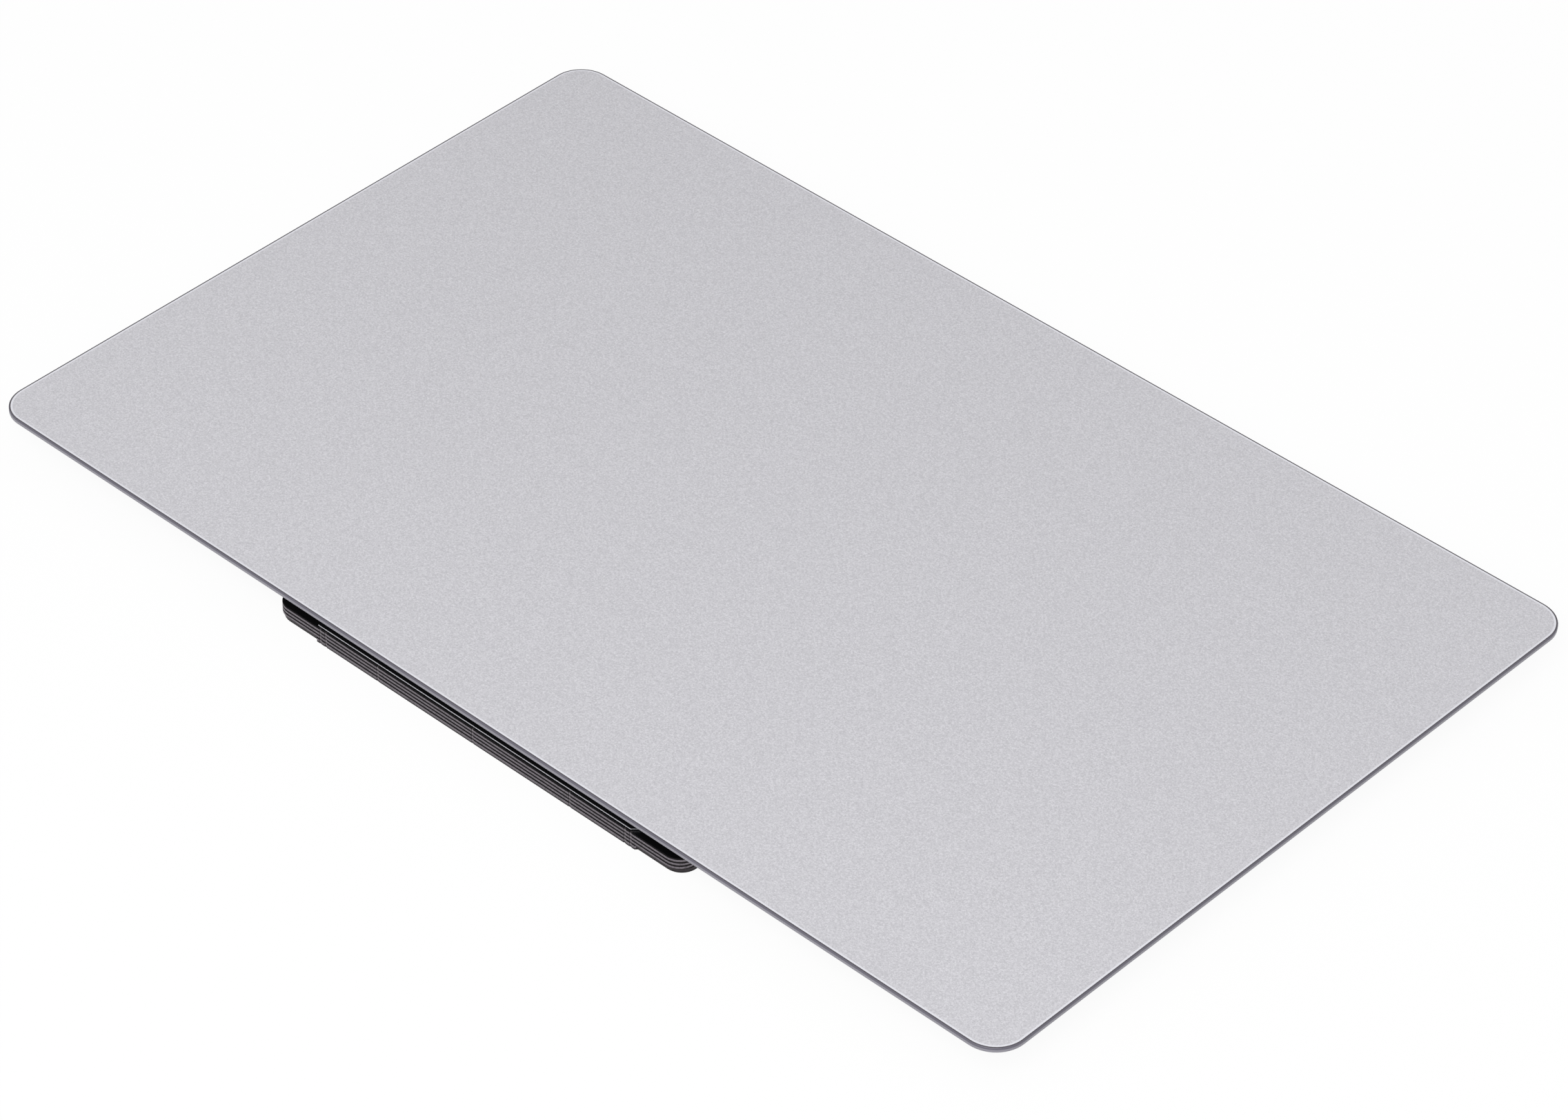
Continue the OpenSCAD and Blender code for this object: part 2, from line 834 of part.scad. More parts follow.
// Small parts: a ring round the controller and a row along both sides of the can
module board_passives() {
    ring = controller_l / 2 + part_gap / 2 + passive_l / 2;
    row = shield_w / 2 + part_gap;
    color("#a5927a") {
        for (turn = [0:3]) translate([wing_x, 0, 0]) rotate(90 * turn) for (i = [-2:2])
            under_board(ring, i * passive_pitch, passive_l, passive_w, passive_h, passive_r);
        front_and_rear() for (i = [-3:3])
            under_board(-wing_x + i * passive_pitch, row, passive_w, passive_l, passive_h, passive_r);
    }
}

// Shield can: open to the board, with rows of vents
module board_shield() {
    z = board_z - shield_h;
    color("#c3c5c7") translate([-wing_x, 0, 0]) difference() {
        rounded_plate(shield_l, shield_w, shield_r, z, shield_h);
        rounded_plate(
            shield_l - 2 * shield_wall, shield_w - 2 * shield_wall, shield_r - shield_wall,
            z + shield_wall, shield_h
        );
        for (i = [-2:2], j = [-1:1]) translate([i * vent_pitch, j * vent_pitch, 0])
            cylinder_between(z - over, z + shield_wall + over, vent_r);
    }
}

// Host connector

// A shape drawn in Y, Z and run along X, centred
module along_x(l) {
    rotate([90, 0, 90]) linear_extrude(l, center = true) children();
}

module at_contacts() {
    for (i = [0:contact_count - 1])
        translate([(i - (contact_count - 1) / 2) * contact_pitch, 0, 0]) children();
}

// Top of the cable slot, which is also the face that the cable lies against
cable_z = board_z - lip_t;

module host_connector() {
    back = connector_y + connector_block;
    channel_w = contact_w + 2 * fit;
    color("#d9d4c6") difference() {
        union() {
            along_x(connector_l) {
                translate([connector_y, connector_z]) square([connector_block, connector_h]);
                translate([connector_y, cable_z]) square([connector_block + connector_lip, lip_t]);
            }
            both_sides() translate([(connector_l - connector_ear) / 2, 0, 0])
                along_x(connector_ear) translate([back - fit, connector_z])
                    square([pivot_y + latch_r + ear_over - back + fit, connector_h]);
        }
        along_x(contact_count * contact_pitch + 2 * slot_end)
            translate([connector_y + slot_floor, cable_z - slot_h]) square([connector_block, slot_h]);
        at_contacts() along_x(channel_w) translate([connector_y - over, cable_z - fit])
            square([connector_block - channel_end + over, lip_t + over]);
        along_x(connector_l - 2 * connector_ear + 2 * (pivot_l + fit))
            translate([pivot_y, pivot_z]) circle(pivot_r + pivot_fit);
    }
}

// Contacts with a solder tail in front and a beam over the cable slot
module host_contacts() {
    y0 = connector_y - contact_tail;
    y1 = connector_y + contact_heel;
    y2 = connector_y + connector_block - contact_toe;
    color("#c9a44c") at_contacts() along_x(contact_w) polygon([
        [y0, board_z], [y0, board_z - contact_t], [y1, board_z - contact_t],
        [y1, cable_z], [y2, cable_z], [y2, cable_z + contact_t],
        [y1 + contact_t, cable_z + contact_t], [y1 + contact_t, board_z],
    ]);
}

// Flip-lock flap with a round back edge and a pivot at each end
module connector_latch() {
    color("#2a2422") {
        along_x(latch_l) translate([pivot_y, pivot_z]) {
            circle(latch_r);
            translate([0, -latch_r]) square([latch_reach, latch_t]);
        }
        along_x(latch_l + 2 * pivot_l) translate([pivot_y, pivot_z]) circle(pivot_r);
    }
}

cover_glass();
glass_adhesive();
sensor_board();
stiffener_plate();
armature_bar();
armature_screws();
landing_plates();
touch_controller();
memory_chip();
clock_crystal();
haptic_driver();
gauge_amplifier();
driver_inductors();
bulk_capacitors();
board_passives();
board_shield();
host_connector();
host_contacts();
connector_latch();
gel_pads();
tip_plates();
frame_ply_1();
frame_ply_2();
frame_ply_3();
frame_ply_4();
flexure_shim();
flexure_plate();
clamp_bars();
clamp_screws();
stack_rivets();
weld_beads();
travel_bumpers();
strain_gauges();
frame_flex();
actuator_core_front();
actuator_core_rear();
coil_bobbins();
coil_front_left();
coil_front_right();
coil_rear_left();
coil_rear_right();
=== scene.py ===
"""Looks of a haptic touch module: a satin glass plate on flexure arms over a laminated frame."""

import logging
import math
from dataclasses import dataclass, field
from enum import Enum
from typing import Any, Iterable, Sequence

import bmesh
import bpy
from mathutils import Matrix, Quaternion, Vector

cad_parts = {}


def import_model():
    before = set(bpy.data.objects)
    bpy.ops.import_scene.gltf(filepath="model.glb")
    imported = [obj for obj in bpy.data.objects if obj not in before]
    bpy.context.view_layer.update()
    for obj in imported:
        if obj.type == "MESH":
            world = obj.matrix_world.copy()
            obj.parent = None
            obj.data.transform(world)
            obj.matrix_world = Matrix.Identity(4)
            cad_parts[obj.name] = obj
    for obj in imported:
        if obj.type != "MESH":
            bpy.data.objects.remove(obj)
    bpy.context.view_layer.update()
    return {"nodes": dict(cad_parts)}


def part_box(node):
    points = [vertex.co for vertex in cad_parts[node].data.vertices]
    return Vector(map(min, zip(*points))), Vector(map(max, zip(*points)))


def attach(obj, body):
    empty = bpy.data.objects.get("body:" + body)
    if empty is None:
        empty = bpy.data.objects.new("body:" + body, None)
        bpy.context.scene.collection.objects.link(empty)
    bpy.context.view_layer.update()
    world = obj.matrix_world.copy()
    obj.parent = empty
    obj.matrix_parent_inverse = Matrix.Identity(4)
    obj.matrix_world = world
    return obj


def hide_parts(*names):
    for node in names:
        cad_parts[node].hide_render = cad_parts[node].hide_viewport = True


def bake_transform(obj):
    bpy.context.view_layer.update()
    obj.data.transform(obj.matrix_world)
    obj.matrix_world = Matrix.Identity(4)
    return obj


log = logging.getLogger("touch_module")

# Pieces are drawn in millimetres, as in the part's source, and scaled when they are finished.
MM = 0.001
# Attribute of a bending piece that holds the height of its points at rest.
REST_HEIGHT = "rest_height"
# Points nearer than this are merged, in millimetres.
MERGE_MM = 1e-5
# Upright part of a normal above which a face counts as flat.
FLAT = 0.999
# Real height of the relief of a surface, in millimetres.
RELIEF_MM = 0.02


class Body(str, Enum):
    """The bodies that move apart from each other."""

    FRAME = "frame"
    SUSPENSION = "suspension"
    PLATE = "touch_plate"


class Zone(Enum):
    """Zones of the glass, in the order of its material slots."""

    FACE = 0
    RIM = 1
    LINE = 2
    EDGE = 3
    FOOT = 4
    INK = 5


class Along(Enum):
    """Stretch of a rolling or grinding pattern along one axis."""

    X = (0.02, 1.0, 1.0)
    Y = (1.0, 0.02, 1.0)
    NONE = (1.0, 1.0, 1.0)


def linear(colour: str) -> tuple[float, float, float, float]:
    """Turns an sRGB hex colour into linear light.

    Args:
        colour: Six hex digits.

    Returns:
        Red, green and blue in linear light, and an alpha of one.
    """
    parts = [int(colour[i:i + 2], 16) / 255 for i in (0, 2, 4)]
    red, green, blue = (p / 12.92 if p <= 0.04045 else ((p + 0.055) / 1.055) ** 2.4 for p in parts)
    return red, green, blue, 1.0


def per_metre(size_mm: float) -> float:
    """Returns the texture scale that repeats once in a size in millimetres."""
    return 1 / (size_mm * MM)


def add(tree: bpy.types.NodeTree, kind: str, inputs: dict[Any, Any], **settings: Any) -> bpy.types.Node:
    """Adds a node with its settings, and fills its inputs with links or values.

    Args:
        tree: The node tree that gets the node.
        kind: The node's type name.
        inputs: A socket to link or a value to set, for each input name or number.
        **settings: Properties of the node.

    Returns:
        The new node.
    """
    node = tree.nodes.new(kind)
    for name, value in settings.items():
        setattr(node, name, value)
    for key, value in inputs.items():
        if isinstance(value, bpy.types.NodeSocket):
            tree.links.new(value, node.inputs[key])
        else:
            node.inputs[key].default_value = value
    return node


@dataclass(frozen=True)
class Finish:
    """A surface that makes its own node material.

    A plain Finish is a fine-grained surface: two near shades mixed by a grain of a real size,
    which also lifts the surface a little.
    """

    name: str
    colour: str
    shade: str
    grain_mm: float = 0.1
    roughness: float = 0.5
    metallic: float = 0.0
    relief: float = 0.15
    along: Along = Along.NONE

    def material(self) -> bpy.types.Material:
        """Makes the node material, or gives the one that was made before.

        Returns:
            The material named for this finish.
        """
        known = bpy.data.materials.get(self.name)
        if known is not None:
            return known
        material = bpy.data.materials.new(self.name)
        material.use_nodes = True
        tree = material.node_tree
        shader = tree.nodes["Principled BSDF"]
        shader.inputs["Roughness"].default_value = self.roughness
        shader.inputs["Metallic"].default_value = self.metallic
        self.dress(tree, shader)
        return material

    def dress(self, tree: bpy.types.NodeTree, shader: bpy.types.Node) -> None:
        """Adds the grain to the shader.

        Args:
            tree: The material's nodes.
            shader: Its surface shader.
        """
        grain = self.grain(tree, self.grain_mm, self.along)
        shades = {0: grain, 6: linear(self.colour), 7: linear(self.shade)}
        mix = add(tree, "ShaderNodeMix", shades, data_type="RGBA")
        tree.links.new(mix.outputs[2], shader.inputs["Base Color"])
        relief = {"Height": grain, "Strength": self.relief, "Distance": RELIEF_MM * MM}
        bump = add(tree, "ShaderNodeBump", relief)
        tree.links.new(bump.outputs["Normal"], shader.inputs["Normal"])

    @staticmethod
    def grain(tree: bpy.types.NodeTree, size_mm: float, along: Along = Along.NONE) -> bpy.types.NodeSocket:
        """Adds a noise whose spots have a real size.

        Args:
            tree: The material's nodes.
            size_mm: Size of a spot.
            along: The axis that the spots are drawn out along.

        Returns:
            The noise, from 0 to 1.
        """
        place = add(tree, "ShaderNodeTexCoord", {})
        drawn = add(tree, "ShaderNodeMapping", {"Vector": place.outputs["Object"], "Scale": along.value})
        noise = add(tree, "ShaderNodeTexNoise", {
            "Vector": drawn.outputs["Vector"], "Scale": per_metre(size_mm), "Detail": 2.0,
        })
        return noise.outputs["Fac"]

    @staticmethod
    def upright(tree: bpy.types.NodeTree) -> bpy.types.NodeSocket:
        """Finds the upright faces of a flat sheet.

        Args:
            tree: The material's nodes.

        Returns:
            One on upright faces and zero on flat ones.
        """
        place = add(tree, "ShaderNodeTexCoord", {})
        facing = add(tree, "ShaderNodeSeparateXYZ", {0: place.outputs["Normal"]})
        test = add(tree, "ShaderNodeMath", {0: facing.outputs["Z"], 1: 0.0, 2: 0.5}, operation="COMPARE")
        return test.outputs[0]


@dataclass(frozen=True)
class EtchedGlass(Finish):
    """Acid-etched glass with grey paint behind it: a soft even grey with a fine sparkle."""

    sparkle_mm: float = 0.2
    contrast: tuple[float, float] = (0.12, 0.42)
    gloss_spread: float = 0.08

    def dress(self, tree: bpy.types.NodeTree, shader: bpy.types.Node) -> None:
        """Adds the etched grain and its sparkle to the shader.

        Args:
            tree: The material's nodes.
            shader: Its surface shader.
        """
        fine = self.grain(tree, self.grain_mm)
        coarse = self.grain(tree, self.sparkle_mm)
        both = add(tree, "ShaderNodeMath", {0: fine, 1: coarse}, operation="MULTIPLY")
        spread = add(tree, "ShaderNodeMapRange", {
            "Value": both.outputs[0], "From Min": self.contrast[0], "From Max": self.contrast[1],
        })
        shades = {0: spread.outputs["Result"], 6: linear(self.shade), 7: linear(self.colour)}
        mix = add(tree, "ShaderNodeMix", shades, data_type="RGBA")
        tree.links.new(mix.outputs[2], shader.inputs["Base Color"])
        rough = add(tree, "ShaderNodeMapRange", {
            "Value": coarse, "To Min": self.roughness + self.gloss_spread,
            "To Max": self.roughness - self.gloss_spread,
        })
        tree.links.new(rough.outputs["Result"], shader.inputs["Roughness"])
        relief = {"Height": fine, "Strength": self.relief, "Distance": RELIEF_MM * MM}
        bump = add(tree, "ShaderNodeBump", relief)
        tree.links.new(bump.outputs["Normal"], shader.inputs["Normal"])


@dataclass(frozen=True)
class CoatedSheet(Finish):
    """Steel sheet with a coat on its flat faces and bare metal on the edges.

    The edge is drawn as a light crest between two dark rims. Etching from both sides leaves a ridge; the dark
    rims are also painted shade for the grooves between stacked sheets, and the crest is partly a painted
    highlight.
    Edges that are nearer to the middle than proud_mm are painted darker: painted shade for an edge that is set
    back.
    A sheet that bends takes its heights from the attribute that holds them at rest.
    """

    crest: str = "808080"
    rim: str = "202020"
    foot_mm: float = 0.0
    height_mm: float = 0.4
    rim_share: float = 0.1
    crest_share: float = 0.36
    edge_roughness: float = 0.42
    fleck_mm: float = 0.2
    fleck_depth: float = 1.1
    proud_mm: float = -1.0
    bends: bool = False
    coat_gloss: float = 0.12
    recess_shade_share: float = 0.12
    edge_metal: float = 0.85

    def dress(self, tree: bpy.types.NodeTree, shader: bpy.types.Node) -> None:
        """Adds the coat, the bare edge and its flecks to the shader.

        Args:
            tree: The material's nodes.
            shader: Its surface shader.
        """
        shader.inputs["Specular IOR Level"].default_value = self.coat_gloss
        bare = self.upright(tree)
        place = add(tree, "ShaderNodeTexCoord", {})
        spot = add(tree, "ShaderNodeSeparateXYZ", {0: place.outputs["Object"]})
        height = spot.outputs["Z"]
        if self.bends:
            height = add(tree, "ShaderNodeAttribute", {}, attribute_name=REST_HEIGHT).outputs["Fac"]
        level = add(tree, "ShaderNodeMath", {0: height, 1: self.foot_mm * MM}, operation="SUBTRACT")
        # Painted shade and highlight: the edge is darkest at its top and bottom rims and lightest at
        # mid-height.
        ridge = add(tree, "ShaderNodeMath", {
            0: level.outputs[0], 1: self.height_mm * MM / 2,
        }, operation="PINGPONG")
        rise = add(tree, "ShaderNodeMapRange", {
            "Value": ridge.outputs[0], "From Min": self.rim_share * self.height_mm * MM,
            "From Max": self.crest_share * self.height_mm * MM,
        }, interpolation_type="SMOOTHSTEP")
        reach = add(tree, "ShaderNodeMath", {0: spot.outputs["Y"]}, operation="ABSOLUTE")
        proud = add(tree, "ShaderNodeMath", {
            0: reach.outputs[0], 1: self.proud_mm * MM,
        }, operation="GREATER_THAN")
        # Painted shade: edges nearer to the middle than proud_mm are darkened.
        film = add(tree, "ShaderNodeMapRange", {
            "Value": proud.outputs[0], "To Min": self.recess_shade_share, "To Max": 1.0,
        })
        shown = add(tree, "ShaderNodeMath", {
            0: rise.outputs["Result"], 1: film.outputs["Result"],
        }, operation="MULTIPLY")
        fleck = add(tree, "ShaderNodeMapRange", {
            "Value": self.grain(tree, self.fleck_mm), "To Min": 1 - self.fleck_depth,
            "To Max": 1 + self.fleck_depth,
        })
        share = add(tree, "ShaderNodeMath", {
            0: shown.outputs[0], 1: fleck.outputs["Result"],
        }, operation="MULTIPLY", use_clamp=True)
        edge = add(tree, "ShaderNodeMix", {
            0: share.outputs[0], 6: linear(self.rim), 7: linear(self.crest),
        }, data_type="RGBA")
        grain = self.grain(tree, self.grain_mm, self.along)
        coat = add(tree, "ShaderNodeMix", {
            0: grain, 6: linear(self.colour), 7: linear(self.shade),
        }, data_type="RGBA")
        whole = add(tree, "ShaderNodeMix", {
            0: bare, 6: coat.outputs[2], 7: edge.outputs[2],
        }, data_type="RGBA")
        metal = add(tree, "ShaderNodeMapRange", {"Value": bare, "To Min": 0.0, "To Max": self.edge_metal})
        rough = add(tree, "ShaderNodeMapRange", {
            "Value": bare, "To Min": self.roughness, "To Max": self.edge_roughness,
        })
        tree.links.new(whole.outputs[2], shader.inputs["Base Color"])
        tree.links.new(metal.outputs["Result"], shader.inputs["Metallic"])
        tree.links.new(rough.outputs["Result"], shader.inputs["Roughness"])
        relief = {"Height": grain, "Strength": self.relief, "Distance": RELIEF_MM * MM}
        bump = add(tree, "ShaderNodeBump", relief)
        tree.links.new(bump.outputs["Normal"], shader.inputs["Normal"])


@dataclass(frozen=True)
class TracedFilm(Finish):
    """A film or mask over etched copper: the tracks show through as lighter lines."""

    track: str = "303030"
    side: str = "303030"
    pitch_mm: float = 0.5
    run_mm: float = 6.0
    track_mm: float = 0.16

    def dress(self, tree: bpy.types.NodeTree, shader: bpy.types.Node) -> None:
        """Adds the tracks and the cut edge to the shader.

        Args:
            tree: The material's nodes.
            shader: Its surface shader.
        """
        place = add(tree, "ShaderNodeTexCoord", {})
        tracks = add(tree, "ShaderNodeTexBrick", {
            "Vector": place.outputs["Object"], "Color1": (0, 0, 0, 1), "Color2": (0, 0, 0, 1),
            "Mortar": (1, 1, 1, 1), "Scale": per_metre(1.0), "Mortar Size": self.track_mm / 2,
            "Mortar Smooth": 0.3, "Brick Width": self.run_mm, "Row Height": self.pitch_mm,
        }, offset=0.37)
        film = add(tree, "ShaderNodeMix", {
            0: self.grain(tree, self.grain_mm), 6: linear(self.colour), 7: linear(self.shade),
        }, data_type="RGBA")
        face = add(tree, "ShaderNodeMix", {
            0: tracks.outputs["Color"], 6: film.outputs[2], 7: linear(self.track),
        }, data_type="RGBA")
        whole = add(tree, "ShaderNodeMix", {
            0: self.upright(tree), 6: face.outputs[2], 7: linear(self.side),
        }, data_type="RGBA")
        tree.links.new(whole.outputs[2], shader.inputs["Base Color"])
        relief = {"Height": tracks.outputs["Color"], "Strength": self.relief, "Distance": RELIEF_MM * MM}
        bump = add(tree, "ShaderNodeBump", relief)
        tree.links.new(bump.outputs["Normal"], shader.inputs["Normal"])


@dataclass(frozen=True)
class Laminated(Finish):
    """Iron cut from a stack of sheets: fine dark seams run along its sides."""

    sheet_mm: float = 0.1075
    seam_mm: tuple[float, float] = (0.006, 0.016)
    seam: str = "1A1A1C"

    def dress(self, tree: bpy.types.NodeTree, shader: bpy.types.Node) -> None:
        """Adds the ground face and the seams to the shader.

        Args:
            tree: The material's nodes.
            shader: Its surface shader.
        """
        place = add(tree, "ShaderNodeTexCoord", {})
        spot = add(tree, "ShaderNodeSeparateXYZ", {0: place.outputs["Object"]})
        turns = add(tree, "ShaderNodeMath", {
            0: spot.outputs["Z"], 1: self.sheet_mm * MM / 2,
        }, operation="PINGPONG")
        seam = add(tree, "ShaderNodeMapRange", {
            "Value": turns.outputs[0], "From Min": self.seam_mm[0] * MM,
            "From Max": self.seam_mm[1] * MM, "To Min": 1.0, "To Max": 0.0,
        })
        on_side = add(tree, "ShaderNodeMath", {
            0: seam.outputs["Result"], 1: self.upright(tree),
        }, operation="MULTIPLY")
        grain = self.grain(tree, self.grain_mm, self.along)
        face = add(tree, "ShaderNodeMix", {
            0: grain, 6: linear(self.colour), 7: linear(self.shade),
        }, data_type="RGBA")
        whole = add(tree, "ShaderNodeMix", {
            0: on_side.outputs[0], 6: face.outputs[2], 7: linear(self.seam),
        }, data_type="RGBA")
        tree.links.new(whole.outputs[2], shader.inputs["Base Color"])
        relief = {"Height": grain, "Strength": self.relief, "Distance": RELIEF_MM * MM}
        bump = add(tree, "ShaderNodeBump", relief)
        tree.links.new(bump.outputs["Normal"], shader.inputs["Normal"])


@dataclass(frozen=True)
class ClearGel(Finish):
    """Cast silicone gel: a cloudy clear body."""

    clearness: float = 0.55
    bending: float = 1.41

    def dress(self, tree: bpy.types.NodeTree, shader: bpy.types.Node) -> None:
        """Adds the clear body and its clouds to the shader.

        Args:
            tree: The material's nodes.
            shader: Its surface shader.
        """
        shader.inputs["Transmission Weight"].default_value = self.clearness
        shader.inputs["IOR"].default_value = self.bending
        cloud = self.grain(tree, self.grain_mm)
        shades = {0: cloud, 6: linear(self.colour), 7: linear(self.shade)}
        mix = add(tree, "ShaderNodeMix", shades, data_type="RGBA")
        tree.links.new(mix.outputs[2], shader.inputs["Base Color"])
        relief = {"Height": cloud, "Strength": self.relief, "Distance": RELIEF_MM * MM}
        bump = add(tree, "ShaderNodeBump", relief)
        tree.links.new(bump.outputs["Normal"], shader.inputs["Normal"])


# Glass. The face is acid-etched, so it is an even grey with a fine grain, drawn coarser than the real
# etch so that it shows. The rim round it is painted lighter: painted light for the white floor seen through
# clear glass.
GLASS_FACE = EtchedGlass("etched_glass_grey_back", "D7D6DB", "B7B6BB", 0.11, 0.5, relief=0.12)
GLASS_RIM_PAINTED_LIGHT = Finish("glass_rim_painted_floor_light", "E0E0E6", "D8D8DF", 0.5, 0.3, relief=0.02)
# A painted dark hairline runs all the way round the top. It stands for the ground edge seen through the rim of
# the glass.
GLASS_LINE = Finish("glass_edge_painted_hairline", "443F44", "3D393E", 0.5, 0.35, relief=0.02)
# The ground edge is dark violet-grey. Its lower part is painted lighter: a painted reflection of the white
# floor.
GLASS_EDGE = Finish("ground_glass_edge", "5F5C68", "56535F", 0.3, 0.4, relief=0.05)
GLASS_FOOT_FLOOR_REFLECTION = Finish("glass_foot_painted_floor_reflection", "8A8891", "7F7D86", 0.3, 0.35, relief=0.05)
# Screen-printed ink on the back of the glass: flat black.
GLASS_INK = Finish("black_glass_ink", "0B0B0D", "101013", 0.2, 0.6, relief=0.05)
# Pressure-sensitive film: pale amber at its cut edge.
BOND_FILM = Finish("acrylic_bond_film", "C9C3AE", "B9B29A", 0.4, 0.3, relief=0.05)
# Board with black solder mask: tracks show faintly, and the cut edge is glass-fibre yellow.
# The tracks of the board and of the films below are coarser than real ones, so that they show.
BOARD = TracedFilm(
    "solder_mask_board", "0C0F10", "101415", 0.3, 0.38, relief=0.35,
    track="1C2522", side="5A5233", pitch_mm=0.9, run_mm=11.0, track_mm=0.3,
)
# Rolled steel: fine long rolling lines with a soft grey gloss.
ROLLED_X = Finish("rolled_steel_lengthwise", "A9ABAE", "8E9094", 0.09, 0.32, 1.0, 0.25, Along.X)
ROLLED_Y = Finish("rolled_steel_crosswise", "A9ABAE", "8E9094", 0.09, 0.32, 1.0, 0.25, Along.Y)
# Soft iron, ground flat: darker than steel, with grinding lines and sheet seams on its sides.
CORE_IRON = Laminated("laminated_core_iron", "7A7B7F", "626368", 0.08, 0.36, 1.0, 0.3, Along.X)
ARMATURE_IRON = Finish("ground_armature_iron", "7E7F83", "68696E", 0.08, 0.34, 1.0, 0.3, Along.X)
# Nickel plate on small screws and rivets: a dull bright grey.
NICKEL = Finish("dull_nickel_plate", "A6A49E", "8F8D87", 0.2, 0.28, 1.0, 0.2)
# Moulded epoxy of chips: flat black with silica flecks.
EPOXY = Finish("moulded_epoxy", "1D1D20", "2A2A2E", 0.07, 0.62, relief=0.5)
# Kovar lid of the clock crystal: satin, slightly warm metal with faint lines.
CRYSTAL_LID = Finish("kovar_lid", "B9B7B0", "A5A39C", 0.12, 0.3, 1.0, 0.2, Along.X)
# Sintered ferrite: dark grey and grainy.
FERRITE = Finish("sintered_ferrite", "3A3836", "4A4744", 0.08, 0.7, relief=0.6)
# Moulded case of the tantalum capacitors: mustard, with a fine matt grain.
TANTALUM = Finish("moulded_capacitor_case", "B28A3C", "A57D31", 0.1, 0.5, relief=0.3)
# Fired ceramic of the small chips: tan and slightly speckled.
CERAMIC = Finish("fired_ceramic", "A08A6E", "8E795F", 0.06, 0.45, relief=0.2)
# Tin plate: bright with a slight crystal pattern.
TIN = Finish("tin_plate", "C3C5C7", "A9ACB0", 0.7, 0.3, 1.0, 0.15)
# Gold flash over nickel on lands and contacts.
GOLD = Finish("gold_flash", "D2A94E", "BC9340", 0.15, 0.26, 1.0, 0.12)
# Glass-filled nylon of the connector: ivory, faintly mottled. The flap is a dark brown black.
IVORY = Finish("filled_nylon_ivory", "D9D3C2", "CCC5B2", 0.12, 0.5, relief=0.3)
FLAP_BLACK = Finish("filled_nylon_black", "262120", "312B29", 0.1, 0.5, relief=0.35)
# Moulded polymer of the bobbins: black with faint flow lines.
BOBBIN_BLACK = Finish("liquid_crystal_polymer", "1A1A1D", "232327", 0.12, 0.45, relief=0.3, along=Along.Y)
# Nitrile rubber of the bumpers: dull black.
RUBBER = Finish("nitrile_rubber", "1B1B1E", "252529", 0.1, 0.75, relief=0.5)
# Polyester shim film: the darkest black, without gloss. It is painted darker than a real film, as painted
# shade for the gap under the flexure.
SHIM = Finish("black_film_painted_shade", "060607", "0A0A0B", 0.4, 0.8, relief=0.1)
# Hot-rolled steel of the clamp bars: dark grey with short rolling lines.
CLAMP = Finish("dark_rolled_steel", "5B5D61", "4A4C50", 0.08, 0.38, 1.0, 0.3, Along.Y)
# Laser weld: remelted metal, brown-grey with lighter crests between dark seams.
WELD = CoatedSheet(
    "laser_weld_bead", "3A3636", "2C2929", 0.12, 0.36, relief=0.8,
    crest="8C868B", rim="332F31", foot_mm=0.12, height_mm=0.43, rim_share=0.12, crest_share=0.4,
)
# Enamelled copper wire: glossy red-brown.
COPPER_WIRE = Finish("enamelled_copper_wire", "B4622C", "9A4F20", 0.3, 0.26, 0.85, 0.15)
# Polyimide film over copper: amber, with the tracks lighter under it.
FLEX_FILM = TracedFilm(
    "polyimide_flat_circuit", "8E4E12", "7C420C", 0.25, 0.35, relief=0.3,
    track="C07A2B", side="B06A1C", pitch_mm=0.4, run_mm=40.0, track_mm=0.16,
)
# Strain gauge film: amber, with the fine pale grid of its foil.
GAUGE_FILM = TracedFilm(
    "strain_gauge_film", "9A5A18", "885012", 0.2, 0.32, relief=0.4,
    track="C9B7A0", side="B06A1C", pitch_mm=0.24, run_mm=2.2, track_mm=0.11,
)
# Silicone gel: clear and slightly blue, with a cloudy body.
GEL = ClearGel("cast_silicone_gel", "C6D6DE", "DCE6EA", 0.5, 0.28, relief=0.1)
# Spring steel of the flexure: black faces and one bright hairline of bare edge. The near-white middle of that
# edge is partly a painted highlight, and its dark top and bottom are painted shade.
FLEXURE_STEEL = CoatedSheet(
    "black_flexure_steel", "101012", "17171A", 0.15, 0.42, relief=0.25,
    crest="F5F5FB", rim="3A393C", foot_mm=1.89, height_mm=0.2, rim_share=0.12, crest_share=0.3,
    edge_roughness=0.34, fleck_mm=0.5, fleck_depth=0.2, bends=True,
)


def ply_finish(level: int, foot_mm: float, height_mm: float, proud_mm: float = -1.0) -> CoatedSheet:
    """Gives the finish of one ply: black coat on its faces, bare brown-grey steel on its etched edge, with
    painted shade towards the edge's top and bottom.

    Args:
        level: Number of the ply, from the top.
        foot_mm: Height of its underside.
        height_mm: Its thickness.
        proud_mm: Distance from the middle past which its edge is bare; nearer edges get painted shade.

    Returns:
        The finish.
    """
    return CoatedSheet(
        f"black_coated_ply_{level}", "0B0B0D", "121214", 0.15, 0.36, relief=0.2,
        crest="7A747A", rim="2E2B2D", rim_share=0.07, crest_share=0.43,
        foot_mm=foot_mm, height_mm=height_mm, proud_mm=proud_mm,
    )


